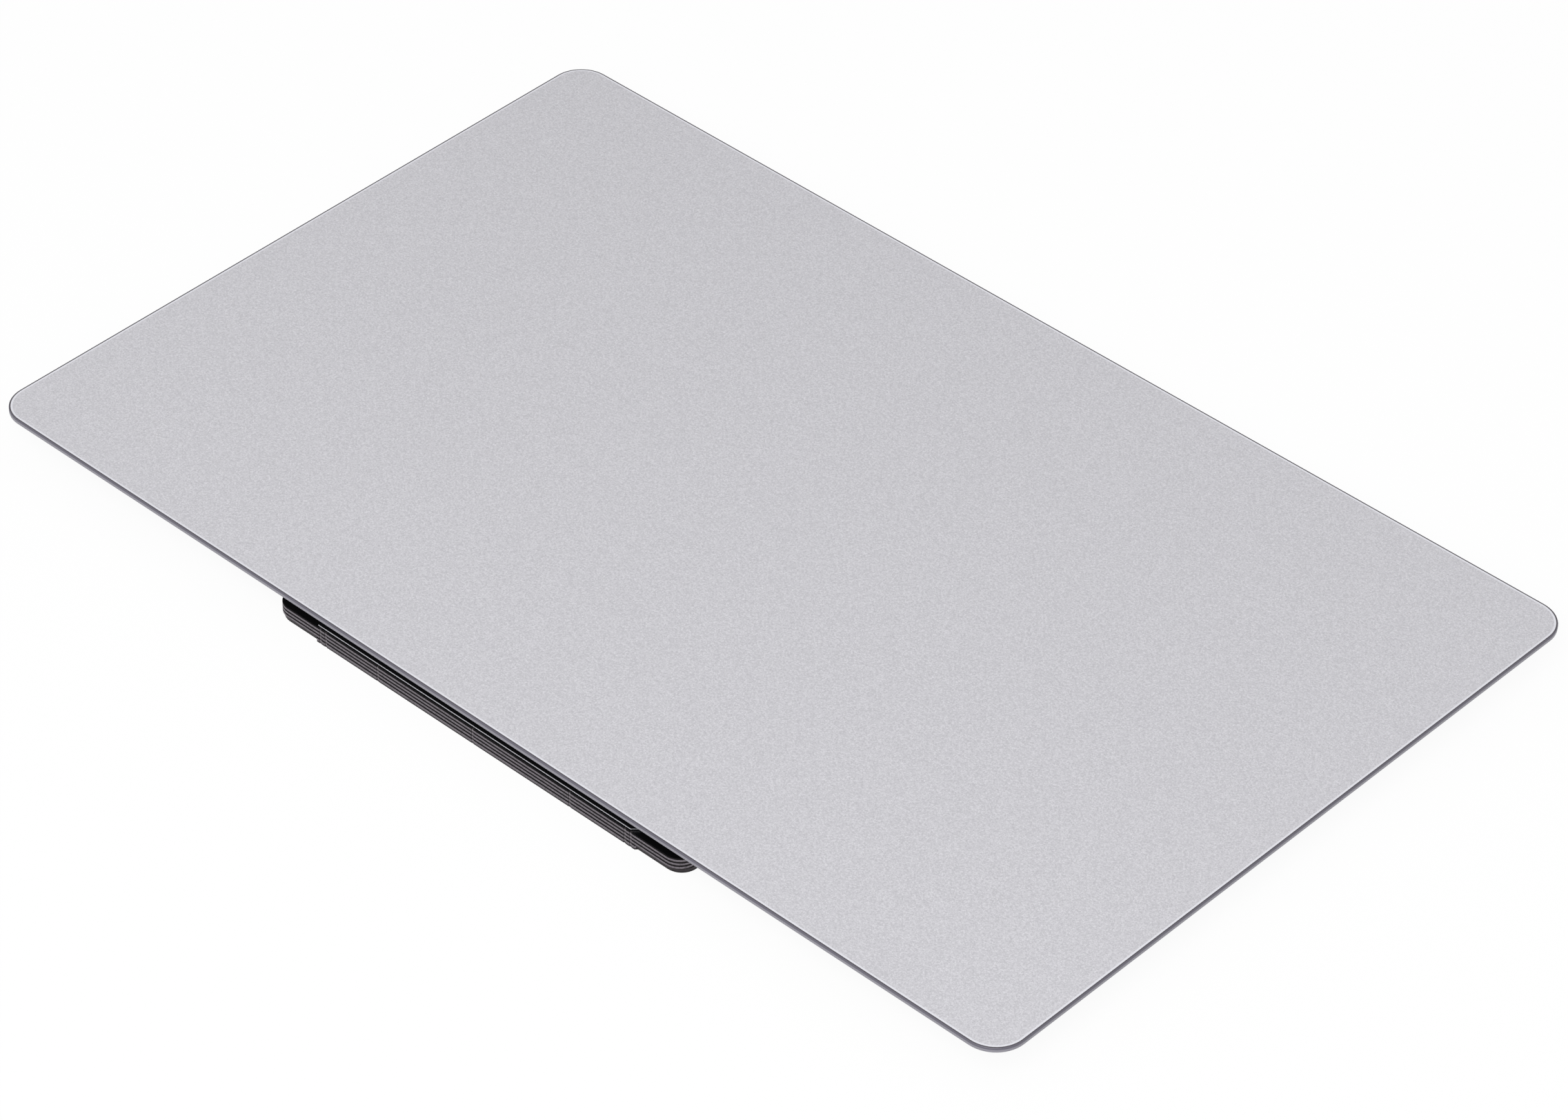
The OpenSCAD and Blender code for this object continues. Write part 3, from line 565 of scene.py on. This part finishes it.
def rounded_plate(bm: bmesh.types.BMesh, size: tuple[float, float], radius: float, z: tuple[float, float],
                  middle: tuple[float, float] = (0.0, 0.0), segments: int = 8) -> list[bmesh.types.BMVert]:
    """Draws an upright block with round corners seen from above.

    Args:
        bm: The mesh that it is drawn in.
        size: Its length and width.
        radius: Its corner radius.
        z: Heights of its underside and of its top.
        middle: Its middle seen from above.
        segments: Segments of a corner.

    Returns:
        Its vertices.
    """
    made = bmesh.ops.create_grid(bm, x_segments=1, y_segments=1, size=0.5)["verts"]
    bmesh.ops.scale(bm, vec=(size[0], size[1], 1), verts=made)
    if radius > 0:
        corner = bmesh.ops.bevel(
            bm, geom=made, offset=radius, segments=segments, profile=0.5, affect="VERTICES", material=-1
        )
        made = corner["verts"]
    foot = list({f for v in made for f in v.link_faces})
    bmesh.ops.translate(bm, vec=(middle[0], middle[1], z[0]), verts=list({v for f in foot for v in f.verts}))
    grown = bmesh.ops.extrude_face_region(bm, geom=foot, use_keep_orig=True)["geom"]
    top = [v for v in grown if isinstance(v, bmesh.types.BMVert)]
    bmesh.ops.translate(bm, vec=(0, 0, z[1] - z[0]), verts=top)
    return list({v for f in foot for v in f.verts}) + top


def cad_copy(node: bpy.types.Object) -> bmesh.types.BMesh:
    """Copies a node's mesh in millimetres, with its loose triangles merged.

    Args:
        node: The node's object.

    Returns:
        The copy.
    """
    bm = bmesh.new()
    bm.from_mesh(node.data)
    bmesh.ops.scale(bm, vec=(1 / MM, 1 / MM, 1 / MM), verts=bm.verts)
    bmesh.ops.remove_doubles(bm, verts=bm.verts, dist=0.001)
    return bm


def cut(bm: bmesh.types.BMesh, point: Sequence[float], normal: Sequence[float], drop: bool = False) -> None:
    """Cuts a mesh along a plane, and closes it where a side is dropped.

    Args:
        bm: The mesh.
        point: A point of the plane.
        normal: Normal of the plane, on the side that is dropped.
        drop: Whether that side goes.
    """
    whole = list(bm.verts) + list(bm.edges) + list(bm.faces)
    made = bmesh.ops.bisect_plane(
        bm, geom=whole, dist=MERGE_MM, plane_co=point, plane_no=normal, clear_outer=drop
    )["geom_cut"]
    if drop:
        rims = [e for e in made if isinstance(e, bmesh.types.BMEdge) and e.is_boundary]
        bmesh.ops.holes_fill(bm, edges=rims, sides=0)


def finished(name: str, bm: bmesh.types.BMesh, finishes: Iterable[Finish]) -> bpy.types.Object:
    """Turns a mesh in millimetres into an object of the scene.

    Args:
        name: Name of the piece.
        bm: Its mesh, which is used up.
        finishes: Its finishes, in the order of its material slots.

    Returns:
        The object.
    """
    bmesh.ops.remove_doubles(bm, verts=bm.verts, dist=MERGE_MM)
    bmesh.ops.recalc_face_normals(bm, faces=bm.faces)
    bmesh.ops.scale(bm, vec=(MM, MM, MM), verts=bm.verts)
    mesh = bpy.data.meshes.new(name)
    bm.to_mesh(mesh)
    bm.free()
    for finish in finishes:
        mesh.materials.append(finish.material())
    piece = bpy.data.objects.new(name, mesh)
    bpy.context.scene.collection.objects.link(piece)
    log.info("%s: %d faces", name, len(mesh.polygons))
    return piece


@dataclass
class SubAssembly:
    """A group of pieces of the module.

    Attributes:
        nodes: The solids of the frame, by name.
    """

    nodes: dict[str, bpy.types.Object]

    def paint(self, finish: Finish, *names: str) -> None:
        """Gives solids of the frame their finish.

        Args:
            finish: The finish.
            *names: The solids.
        """
        for name in names:
            mesh = self.nodes[name].data
            mesh.materials.clear()
            mesh.materials.append(finish.material())
            log.info("%s: %s", name, finish.name)


@dataclass
class Studio:
    """White floor, soft light and the camera."""

    eye: tuple[float, float, float] = (0.303715, -0.330592, 0.371684)
    aim: tuple[float, float, float] = (0.006263, -0.004477, 0.004486)
    roll_deg: float = 1.10556
    lens_mm: float = 135.717
    sensor_mm: float = 36.0
    lamp_at: tuple[float, float, float] = (0.22, -0.40, 0.50)
    lamp_side: float = 0.4
    lamp_watts: float = 3.0
    sky: float = 0.56
    floor_side: float = 6.0
    shadow_share: float = 0.06
    floor_glow: float = 0.6

    def build(self) -> None:
        """Sets up the whole studio."""
        bpy.context.scene.view_settings.view_transform = "Standard"
        self.camera()
        self.lamp()
        self.world()
        self.floor()

    def camera(self) -> None:
        """Places the camera at the photograph's viewpoint."""
        lens = bpy.data.cameras.new("camera")
        lens.lens = self.lens_mm
        lens.sensor_width = self.sensor_mm
        lens.sensor_fit = "HORIZONTAL"
        lens.clip_start = 0.01
        camera = bpy.data.objects.new("camera", lens)
        bpy.context.scene.collection.objects.link(camera)
        look = Vector(self.aim) - Vector(self.eye)
        turn = Quaternion((0, 0, 1), math.radians(self.roll_deg))
        camera.location = self.eye
        camera.rotation_mode = "QUATERNION"
        camera.rotation_quaternion = look.to_track_quat("-Z", "Y") @ turn
        bpy.context.scene.camera = camera

    def lamp(self) -> None:
        """Hangs a large soft lamp in front of the part, to its right."""
        light = bpy.data.lights.new("soft_box", "AREA")
        light.energy = self.lamp_watts
        light.size = self.lamp_side
        lamp = bpy.data.objects.new("soft_box", light)
        bpy.context.scene.collection.objects.link(lamp)
        lamp.location = self.lamp_at
        lamp.rotation_mode = "QUATERNION"
        lamp.rotation_quaternion = (-Vector(self.lamp_at)).to_track_quat("-Z", "Y")

    def seen(self, tree: bpy.types.NodeTree) -> bpy.types.NodeSocket:
        """Finds the rays that show the background.

        Args:
            tree: The nodes that get the test.

        Returns:
            One for camera, glossy and transmission rays and zero for the rest.
        """
        path = add(tree, "ShaderNodeLightPath", {})
        glossy = add(tree, "ShaderNodeMath", {
            0: path.outputs["Is Camera Ray"], 1: path.outputs["Is Glossy Ray"],
        }, operation="MAXIMUM")
        both = add(tree, "ShaderNodeMath", {
            0: glossy.outputs[0], 1: path.outputs["Is Transmission Ray"],
        }, operation="MAXIMUM")
        return both.outputs[0]

    def world(self) -> None:
        """Makes a white surround that lights the object evenly."""
        world = bpy.data.worlds.new("white_surround")
        world.use_nodes = True
        tree = world.node_tree
        level = add(tree, "ShaderNodeMapRange", {"Value": self.seen(tree), "To Min": self.sky, "To Max": 1.0})
        tree.nodes["Background"].inputs["Color"].default_value = (1, 1, 1, 1)
        tree.links.new(level.outputs["Result"], tree.nodes["Background"].inputs["Strength"])
        bpy.context.scene.world = world

    def floor(self) -> None:
        """Lays a white floor that keeps the shadow, gives soft light to undersides and is clear from below."""
        bm = bmesh.new()
        bmesh.ops.create_grid(bm, x_segments=1, y_segments=1, size=self.floor_side / 2)
        mesh = bpy.data.meshes.new("studio_floor")
        bm.to_mesh(mesh)
        bm.free()
        material = bpy.data.materials.new("white_paper")
        material.use_nodes = True
        material.cycles.emission_sampling = "NONE"
        tree = material.node_tree
        tree.nodes.remove(tree.nodes["Principled BSDF"])
        paper = add(tree, "ShaderNodeBsdfDiffuse", {"Color": linear("F8F8F8")})
        white = add(tree, "ShaderNodeEmission", {"Strength": 1.0})
        share = add(tree, "ShaderNodeMath", {
            0: self.seen(tree), 1: 1 - self.shadow_share,
        }, operation="MULTIPLY")
        path = add(tree, "ShaderNodeLightPath", {})
        glow = add(tree, "ShaderNodeMath", {
            0: path.outputs["Is Diffuse Ray"], 1: self.floor_glow, 2: share.outputs[0],
        }, operation="MULTIPLY_ADD", use_clamp=True)
        front = add(tree, "ShaderNodeMixShader", {
            0: glow.outputs[0], 1: paper.outputs[0], 2: white.outputs[0],
        })
        side = add(tree, "ShaderNodeNewGeometry", {})
        clear = add(tree, "ShaderNodeBsdfTransparent", {})
        both = add(tree, "ShaderNodeMixShader", {
            0: side.outputs["Backfacing"], 1: front.outputs[0], 2: clear.outputs[0],
        })
        tree.links.new(both.outputs[0], tree.nodes["Material Output"].inputs["Surface"])
        mesh.materials.append(material)
        floor = bpy.data.objects.new("studio_floor", mesh)
        bpy.context.scene.collection.objects.link(floor)


@dataclass
class TouchPlate(SubAssembly):
    """The glass with its film, its board and the plates under it. Sizes are in millimetres."""

    glass: tuple[float, float] = (134.0, 83.5)
    glass_radius: float = 3.5
    glass_z: tuple[float, float] = (3.97, 4.53)
    chamfer: float = 0.08
    # Height below which the ground edge takes the painted floor reflection.
    foot_z: float = 4.32
    line: float = 0.11
    rim: float = 0.2

    def build(self) -> None:
        """Models the glass and paints the plates under it."""
        self.cover()
        self.paint(BOND_FILM, "glass_adhesive")
        self.paint(BOARD, "sensor_board")
        self.paint(ROLLED_X, "stiffener_plate")
        self.paint(ROLLED_Y, "landing_plates")

    def cover(self) -> None:
        """Models the glass with ground edges, a painted light rim and a painted dark hairline on its top, and
        a painted floor reflection on the foot of its edges.
        """
        bm = bmesh.new()
        rounded_plate(bm, self.glass, self.glass_radius, self.glass_z, segments=14)
        rims = [e for e in bm.edges if abs(e.verts[0].co.z - e.verts[1].co.z) < 1e-6]
        bmesh.ops.recalc_face_normals(bm, faces=bm.faces)
        bmesh.ops.bevel(
            bm, geom=rims, offset=self.chamfer, segments=3, profile=0.5, affect="EDGES", material=-1
        )
        bmesh.ops.recalc_face_normals(bm, faces=bm.faces)
        # The edge is split at foot_z so that its lower part can take the painted floor reflection.
        cut(bm, (0, 0, self.foot_z), (0, 0, 1))
        for face in bm.faces:
            face.material_index = self.zone(face).value
        # Two painted rings round the top face: a dark hairline for the ground edge seen through the glass, and
        # a lighter rim for the white floor seen through clear glass.
        for width, zone in ((self.line, Zone.LINE), (self.rim, Zone.RIM)):
            top = [f for f in bm.faces if f.normal.z > FLAT and f.calc_area() > self.glass[0]]
            ring = bmesh.ops.inset_region(bm, faces=top, thickness=width, use_even_offset=True)["faces"]
            for face in ring:
                face.material_index = zone.value
        finishes = (GLASS_FACE, GLASS_RIM_PAINTED_LIGHT, GLASS_LINE, GLASS_EDGE, GLASS_FOOT_FLOOR_REFLECTION, GLASS_INK)
        piece = finished("satin_glass", bm, finishes)
        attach(piece, Body.PLATE.value)
        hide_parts("cover_glass")

    def zone(self, face: bmesh.types.BMFace) -> Zone:
        """Tells which zone of the glass a face is.

        Args:
            face: The face.

        Returns:
            The zone.
        """
        lean = face.normal.z
        if lean > FLAT:
            return Zone.FACE
        if lean < -FLAT:
            return Zone.INK
        # Edge faces below foot_z get the painted floor reflection.
        return Zone.FOOT if face.calc_center_median().z < self.foot_z else Zone.EDGE


@dataclass
class BoardParts(SubAssembly):
    """Chips, small parts and their lands under the board. Sizes are in millimetres."""

    board_z: float = 3.07
    land: tuple[float, float, float] = (0.28, 0.6, 0.025)
    land_pitch: float = 0.5
    land_margin: float = 0.8
    cap: float = 0.24
    large_cap: float = 0.4
    proud: float = 0.01
    test_pad: float = 0.45
    test_pitch: float = 1.6
    test_row_y: tuple[float, ...] = (-17.0, 17.0)
    chips: tuple[str, ...] = ("touch_controller", "memory_chip", "haptic_driver", "gauge_amplifier")

    def build(self) -> None:
        """Models the lands, pads and end caps, and paints the parts."""
        self.paint(EPOXY, *self.chips)
        self.paint(CRYSTAL_LID, "clock_crystal")
        self.paint(FERRITE, "driver_inductors")
        self.paint(TANTALUM, "bulk_capacitors")
        self.paint(CERAMIC, "board_passives")
        self.paint(TIN, "board_shield")
        self.lands()
        self.test_pads()
        self.end_caps()

    def block(self, bm: bmesh.types.BMesh, low: Sequence[float], high: Sequence[float]) -> None:
        """Draws an upright block.

        Args:
            bm: The mesh that it is drawn in.
            low: Its lowest corner.
            high: Its highest corner.
        """
        size = (high[0] - low[0], high[1] - low[1])
        middle = ((low[0] + high[0]) / 2, (low[1] + high[1]) / 2)
        rounded_plate(bm, size, 0.0, (low[2], high[2]), middle)

    def lands(self) -> None:
        """Models the tinned lands that show along the sides of the chips."""
        bm = bmesh.new()
        wide, long, high = self.land
        for name in self.chips:
            low, top = (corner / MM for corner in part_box(name))
            count = int((top.x - low.x - self.land_margin) / self.land_pitch)
            rows = int((top.y - low.y - self.land_margin) / self.land_pitch)
            middle = (low + top) / 2
            for i in range(count + 1):
                x = middle.x + (i - count / 2) * self.land_pitch
                for y in (low.y, top.y):
                    rounded_plate(bm, (wide, long), 0.0, (self.board_z - high, self.board_z), (x, y))
            for i in range(rows + 1):
                y = middle.y + (i - rows / 2) * self.land_pitch
                for x in (low.x, top.x):
                    rounded_plate(bm, (long, wide), 0.0, (self.board_z - high, self.board_z), (x, y))
        piece = finished("chip_lands", bm, (TIN,))
        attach(piece, Body.PLATE.value)

    def test_pads(self) -> None:
        """Models two rows of round gold pads beside the controller and the shield."""
        bm = bmesh.new()
        high = self.land[2]
        for x in (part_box("touch_controller"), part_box("board_shield")):
            middle = (x[0].x + x[1].x) / 2 / MM
            for y in self.test_row_y:
                for i in range(-4, 5):
                    place = Matrix.Translation((middle + i * self.test_pitch, y, self.board_z - high / 2))
                    bmesh.ops.create_cone(
                        bm, cap_ends=True, segments=20, radius1=self.test_pad, radius2=self.test_pad,
                        depth=high, matrix=place,
                    )
        piece = finished("test_pads", bm, (GOLD,))
        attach(piece, Body.PLATE.value)

    def end_caps(self) -> None:
        """Models the tinned ends of the small ceramic parts and of the tantalum ones."""
        bm = bmesh.new()
        for name in ("board_passives", "bulk_capacitors", "driver_inductors"):
            for low, high in self.solids(name):
                along = 0 if high.x - low.x > high.y - low.y else 1
                reach = self.cap if name == "board_passives" else self.large_cap
                for end in (0, 1):
                    a, b = low.copy(), high.copy()
                    if end:
                        a[along] = b[along] - reach
                    else:
                        b[along] = a[along] + reach
                    grow = Vector((self.proud, self.proud, 0))
                    a -= grow
                    b += grow
                    a.z -= self.proud
                    self.block(bm, a, b)
        piece = finished("solder_end_caps", bm, (TIN,))
        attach(piece, Body.PLATE.value)

    def solids(self, name: str) -> list[tuple[Vector, Vector]]:
        """Finds the boxes of the separate solids of a node.

        Args:
            name: The node.

        Returns:
            Lowest and highest corner of each solid, in millimetres.
        """
        bm = cad_copy(self.nodes[name])
        left = set(bm.verts)
        boxes = []
        while left:
            group = [left.pop()]
            for vert in group:
                near = {e.other_vert(vert) for e in vert.link_edges} & left
                left -= near
                group.extend(near)
            low = Vector(min(v.co[i] for v in group) for i in range(3))
            high = Vector(max(v.co[i] for v in group) for i in range(3))
            boxes.append((low, high))
        bm.free()
        return sorted(boxes, key=lambda corners: tuple(corners[0]))


@dataclass
class HostConnector(SubAssembly):
    """The flat-cable connector with its flap."""

    def build(self) -> None:
        """Paints the connector."""
        self.paint(IVORY, "host_connector")
        self.paint(GOLD, "host_contacts")
        self.paint(FLAP_BLACK, "connector_latch")


@dataclass
class LaminatedFrame(SubAssembly):
    """The stack of plies with its fasteners. Sizes are in millimetres."""

    base_h: float = 0.55
    base_foot: float = 0.06
    nose_y: float = 40.75
    ply_h: float = 0.43
    count: int = 4

    def build(self) -> None:
        """Paints the plies and all that holds them."""
        for level in range(1, self.count):
            foot = self.base_h + (self.count - 1 - level) * self.ply_h
            self.paint(ply_finish(level, foot, self.ply_h), f"frame_ply_{level}")
        # The base ply's edge is painted darker inside the nose: painted shade where it is set back.
        base = ply_finish(self.count, self.base_foot, self.base_h - self.base_foot, self.nose_y)
        self.paint(base, f"frame_ply_{self.count}")
        self.paint(SHIM, "flexure_shim")
        self.paint(CLAMP, "clamp_bars")
        self.paint(NICKEL, "clamp_screws", "stack_rivets")
        self.paint(WELD, "weld_beads")
        self.paint(RUBBER, "travel_bumpers")


@dataclass
class Suspension(SubAssembly):
    """The flexure with its gauges, tip plates and gel pads. Sizes are in millimetres."""

    arm_root: float = 27.3
    arm_tip: float = 41.3
    arm_cuts: int = 10
    gel_at: tuple[float, float] = (46.3, 26.05)
    gel_side: float = 8.0
    gel_radius: float = 1.0
    gel_z: tuple[float, float] = (2.29, 2.69)
    gel_waist: tuple[float, ...] = (0.16, 0.07, 0.02, 0.0, 0.02, 0.07, 0.16)

    def build(self) -> None:
        """Models the bending pieces and paints the rigid ones."""
        self.paint(ROLLED_X, "tip_plates")
        for side, name in ((-1, "left"), (1, "right")):
            self.half("flexure_plate", f"flexure_{name}", side, FLEXURE_STEEL, "flexure_steel")
            self.half("strain_gauges", f"gauges_{name}", side, GAUGE_FILM, "polyimide")
        self.gel()

    def half(self, node: str, name: str, side: int, finish: Finish, slot: str) -> None:
        """Models the left or right half of a piece that bends with the arms.

        Args:
            node: The solid that it replaces.
            name: Name of the half.
            side: Minus one for the left half and one for the right.
            finish: Its finish.
            slot: Name of its material slot; not used.
        """
        bm = cad_copy(self.nodes[node])
        cut(bm, (0, 0, 0), (-side, 0, 0), drop=True)
        for i in range(self.arm_cuts + 1):
            x = self.arm_root + (self.arm_tip - self.arm_root) * i / self.arm_cuts
            cut(bm, (side * x, 0, 0), (1, 0, 0))
        heights = bm.verts.layers.float.new(REST_HEIGHT)
        for vert in bm.verts:
            vert[heights] = vert.co.z * MM
        piece = finished(name, bm, (finish,))
        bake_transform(piece)
        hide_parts(node)

    def gel(self) -> None:
        """Models the four gel pads, which bulge between their plates."""
        bm = bmesh.new()
        low, high = self.gel_z
        steps = len(self.gel_waist) - 1
        for x in (-self.gel_at[0], self.gel_at[0]):
            for y in (-self.gel_at[1], self.gel_at[1]):
                pad = rounded_plate(
                    bm, (self.gel_side, self.gel_side), self.gel_radius, self.gel_z, (x, y), segments=6
                )
                edges = {e for v in pad for e in v.link_edges}
                uprights = [e for e in edges if abs(e.verts[0].co.z - e.verts[1].co.z) > (high - low) / 2]
                bmesh.ops.subdivide_edges(bm, edges=uprights, cuts=steps - 1)
        for vert in bm.verts:
            step = round((vert.co.z - low) / (high - low) * steps)
            keep = 1 - 2 * self.gel_waist[step] / self.gel_side
            for axis in (0, 1):
                centre = math.copysign(self.gel_at[axis], vert.co[axis])
                vert.co[axis] = centre + (vert.co[axis] - centre) * keep
        for face in bm.faces:
            face.smooth = abs(face.normal.z) < 0.9
        piece = finished("gel_cushions", bm, (GEL,))
        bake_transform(piece)
        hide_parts("gel_pads")


@dataclass
class HapticDrive(SubAssembly):
    """Cores, windings, armature and the flat circuit that feeds them. Sizes are in millimetres."""

    leg_x: float = 10.0
    axis_z: float = 0.98
    wind_y: tuple[float, float] = (2.83, 7.67)
    wind: tuple[float, float] = (7.84, 1.70)
    former: tuple[float, float] = (7.40, 1.26)
    wind_radius: float = 0.25
    turns: int = 40
    turn_steps: tuple[tuple[float, float], ...] = (
        (0.2, 0.012), (0.4, 0.0), (0.6, 0.0), (0.8, 0.012), (1.0, 0.05),
    )
    tail_x: float = 15.95
    tail_wide: float = 4.0
    tail_y: tuple[float, float, float] = (14.9, 17.5, 19.1)
    tail_z: tuple[float, float] = (2.09, 2.99)
    film: float = 0.08
    tail_cuts: int = 24
    windings: dict[str, tuple[int, int]] = field(default_factory=lambda: {
        "front_left": (-1, -1), "front_right": (1, -1), "rear_left": (-1, 1), "rear_right": (1, 1),
    })

    def build(self) -> None:
        """Models the windings and the flat circuit, and paints the iron."""
        self.paint(CORE_IRON, "actuator_core_front", "actuator_core_rear")
        self.paint(ARMATURE_IRON, "armature_bar")
        self.paint(NICKEL, "armature_screws")
        self.paint(BOBBIN_BLACK, "coil_bobbins")
        for name, signs in self.windings.items():
            self.winding(name, signs)
        self.circuit()
        self.tail()

    def winding(self, name: str, signs: tuple[int, int]) -> None:
        """Models the turns of one winding round its leg.

        Args:
            name: Place of the winding.
            signs: Sides of the leg along X and along Y.
        """
        bm = bmesh.new()
        made = bmesh.ops.create_grid(bm, x_segments=1, y_segments=1, size=0.5)["verts"]
        bmesh.ops.scale(bm, vec=(self.wind[0], self.wind[1], 1), verts=made)
        bmesh.ops.bevel(
            bm, geom=made, offset=self.wind_radius, segments=4, profile=0.5, affect="VERTICES", material=-1
        )
        bmesh.ops.delete(bm, geom=list(bm.faces), context="FACES_ONLY")
        bmesh.ops.rotate(bm, verts=bm.verts, cent=(0, 0, 0), matrix=Matrix.Rotation(math.pi / 2, 3, "X"))
        bmesh.ops.translate(bm, vec=(0, self.wind_y[0], 0), verts=bm.verts)
        pitch = (self.wind_y[1] - self.wind_y[0]) / self.turns
        loop = list(bm.edges)
        inset = self.turn_steps[-1][1]
        self.draw_in(bm, loop, 0.0, inset)
        first = loop
        for turn in range(self.turns):
            done = 0.0
            for share, step in self.turn_steps:
                grown = bmesh.ops.extrude_edge_only(bm, edges=loop)["geom"]
                loop = [e for e in grown if isinstance(e, bmesh.types.BMEdge)]
                verts = list({v for e in loop for v in e.verts})
                bmesh.ops.translate(bm, vec=(0, (share - done) * pitch, 0), verts=verts)
                self.draw_in(bm, loop, inset, step)
                done = share
                inset = step
        inner = []
        for rim in (first, loop):
            grown = bmesh.ops.extrude_edge_only(bm, edges=rim)["geom"]
            edge = [e for e in grown if isinstance(e, bmesh.types.BMEdge)]
            verts = list({v for e in edge for v in e.verts})
            wide, high = (side - 2 * inset for side in self.wind)
            bmesh.ops.scale(bm, vec=(self.former[0] / wide, 1, self.former[1] / high), verts=verts)
            inner.extend(edge)
        bmesh.ops.bridge_loops(bm, edges=inner)
        bmesh.ops.translate(bm, vec=(self.leg_x, 0, self.axis_z), verts=bm.verts)
        bmesh.ops.scale(bm, vec=(signs[0], signs[1], 1), verts=bm.verts)
        for face in bm.faces:
            face.smooth = True
        piece = finished(f"winding_{name}", bm, (COPPER_WIRE,))
        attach(piece, Body.FRAME.value)
        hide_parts(f"coil_{name}")

    def draw_in(self, bm: bmesh.types.BMesh, loop: list[bmesh.types.BMEdge], old: float, new: float) -> None:
        """Draws a loop of a winding in or out about the leg's axis.

        Args:
            bm: The winding.
            loop: The loop.
            old: Its inset from the crest of the turns.
            new: The inset that it gets.
        """
        verts = list({v for e in loop for v in e.verts})
        ratio = [(side - 2 * new) / (side - 2 * old) for side in self.wind]
        bmesh.ops.scale(bm, vec=(ratio[0], 1, ratio[1]), verts=verts)

    def circuit(self) -> None:
        """Models the flat part of the circuit, which lies on the flexure."""
        bm = cad_copy(self.nodes["frame_flex"])
        cut(bm, (0, 0, self.tail_z[0] + self.film + 0.001), (0, 0, 1), drop=True)
        piece = finished("flat_circuit", bm, (FLEX_FILM,))
        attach(piece, Body.FRAME.value)
        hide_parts("frame_flex")

    def tail(self) -> None:
        """Models the tail of the circuit, which rises to the board in one soft bend."""
        bm = bmesh.new()
        y0, y1, y2 = self.tail_y
        made = bmesh.ops.create_grid(bm, x_segments=1, y_segments=self.tail_cuts, size=0.5)["verts"]
        bmesh.ops.scale(bm, vec=(self.tail_wide, y2 - y0, 1), verts=made)
        bmesh.ops.translate(bm, vec=(self.tail_x, (y0 + y2) / 2, self.tail_z[0]), verts=made)
        for vert in made:
            share = min(1.0, (vert.co.y - y0) / (y1 - y0))
            vert.co.z += share * share * (3 - 2 * share) * (self.tail_z[1] - self.tail_z[0])
        grown = bmesh.ops.extrude_face_region(bm, geom=list(bm.faces), use_keep_orig=True)["geom"]
        top = [v for v in grown if isinstance(v, bmesh.types.BMVert)]
        bmesh.ops.translate(bm, vec=(0, 0, self.film), verts=top)
        piece = finished("circuit_tail", bm, (FLEX_FILM,))
        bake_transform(piece)
        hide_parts("frame_flex")


def main() -> None:
    """Builds the studio and every sub-assembly."""
    logging.basicConfig(level=logging.INFO, format="%(name)s %(message)s")
    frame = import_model()
    Studio().build()
    for group in (TouchPlate, BoardParts, HostConnector, LaminatedFrame, Suspension, HapticDrive):
        group(frame["nodes"]).build()


if __name__ == "__main__":
    main()
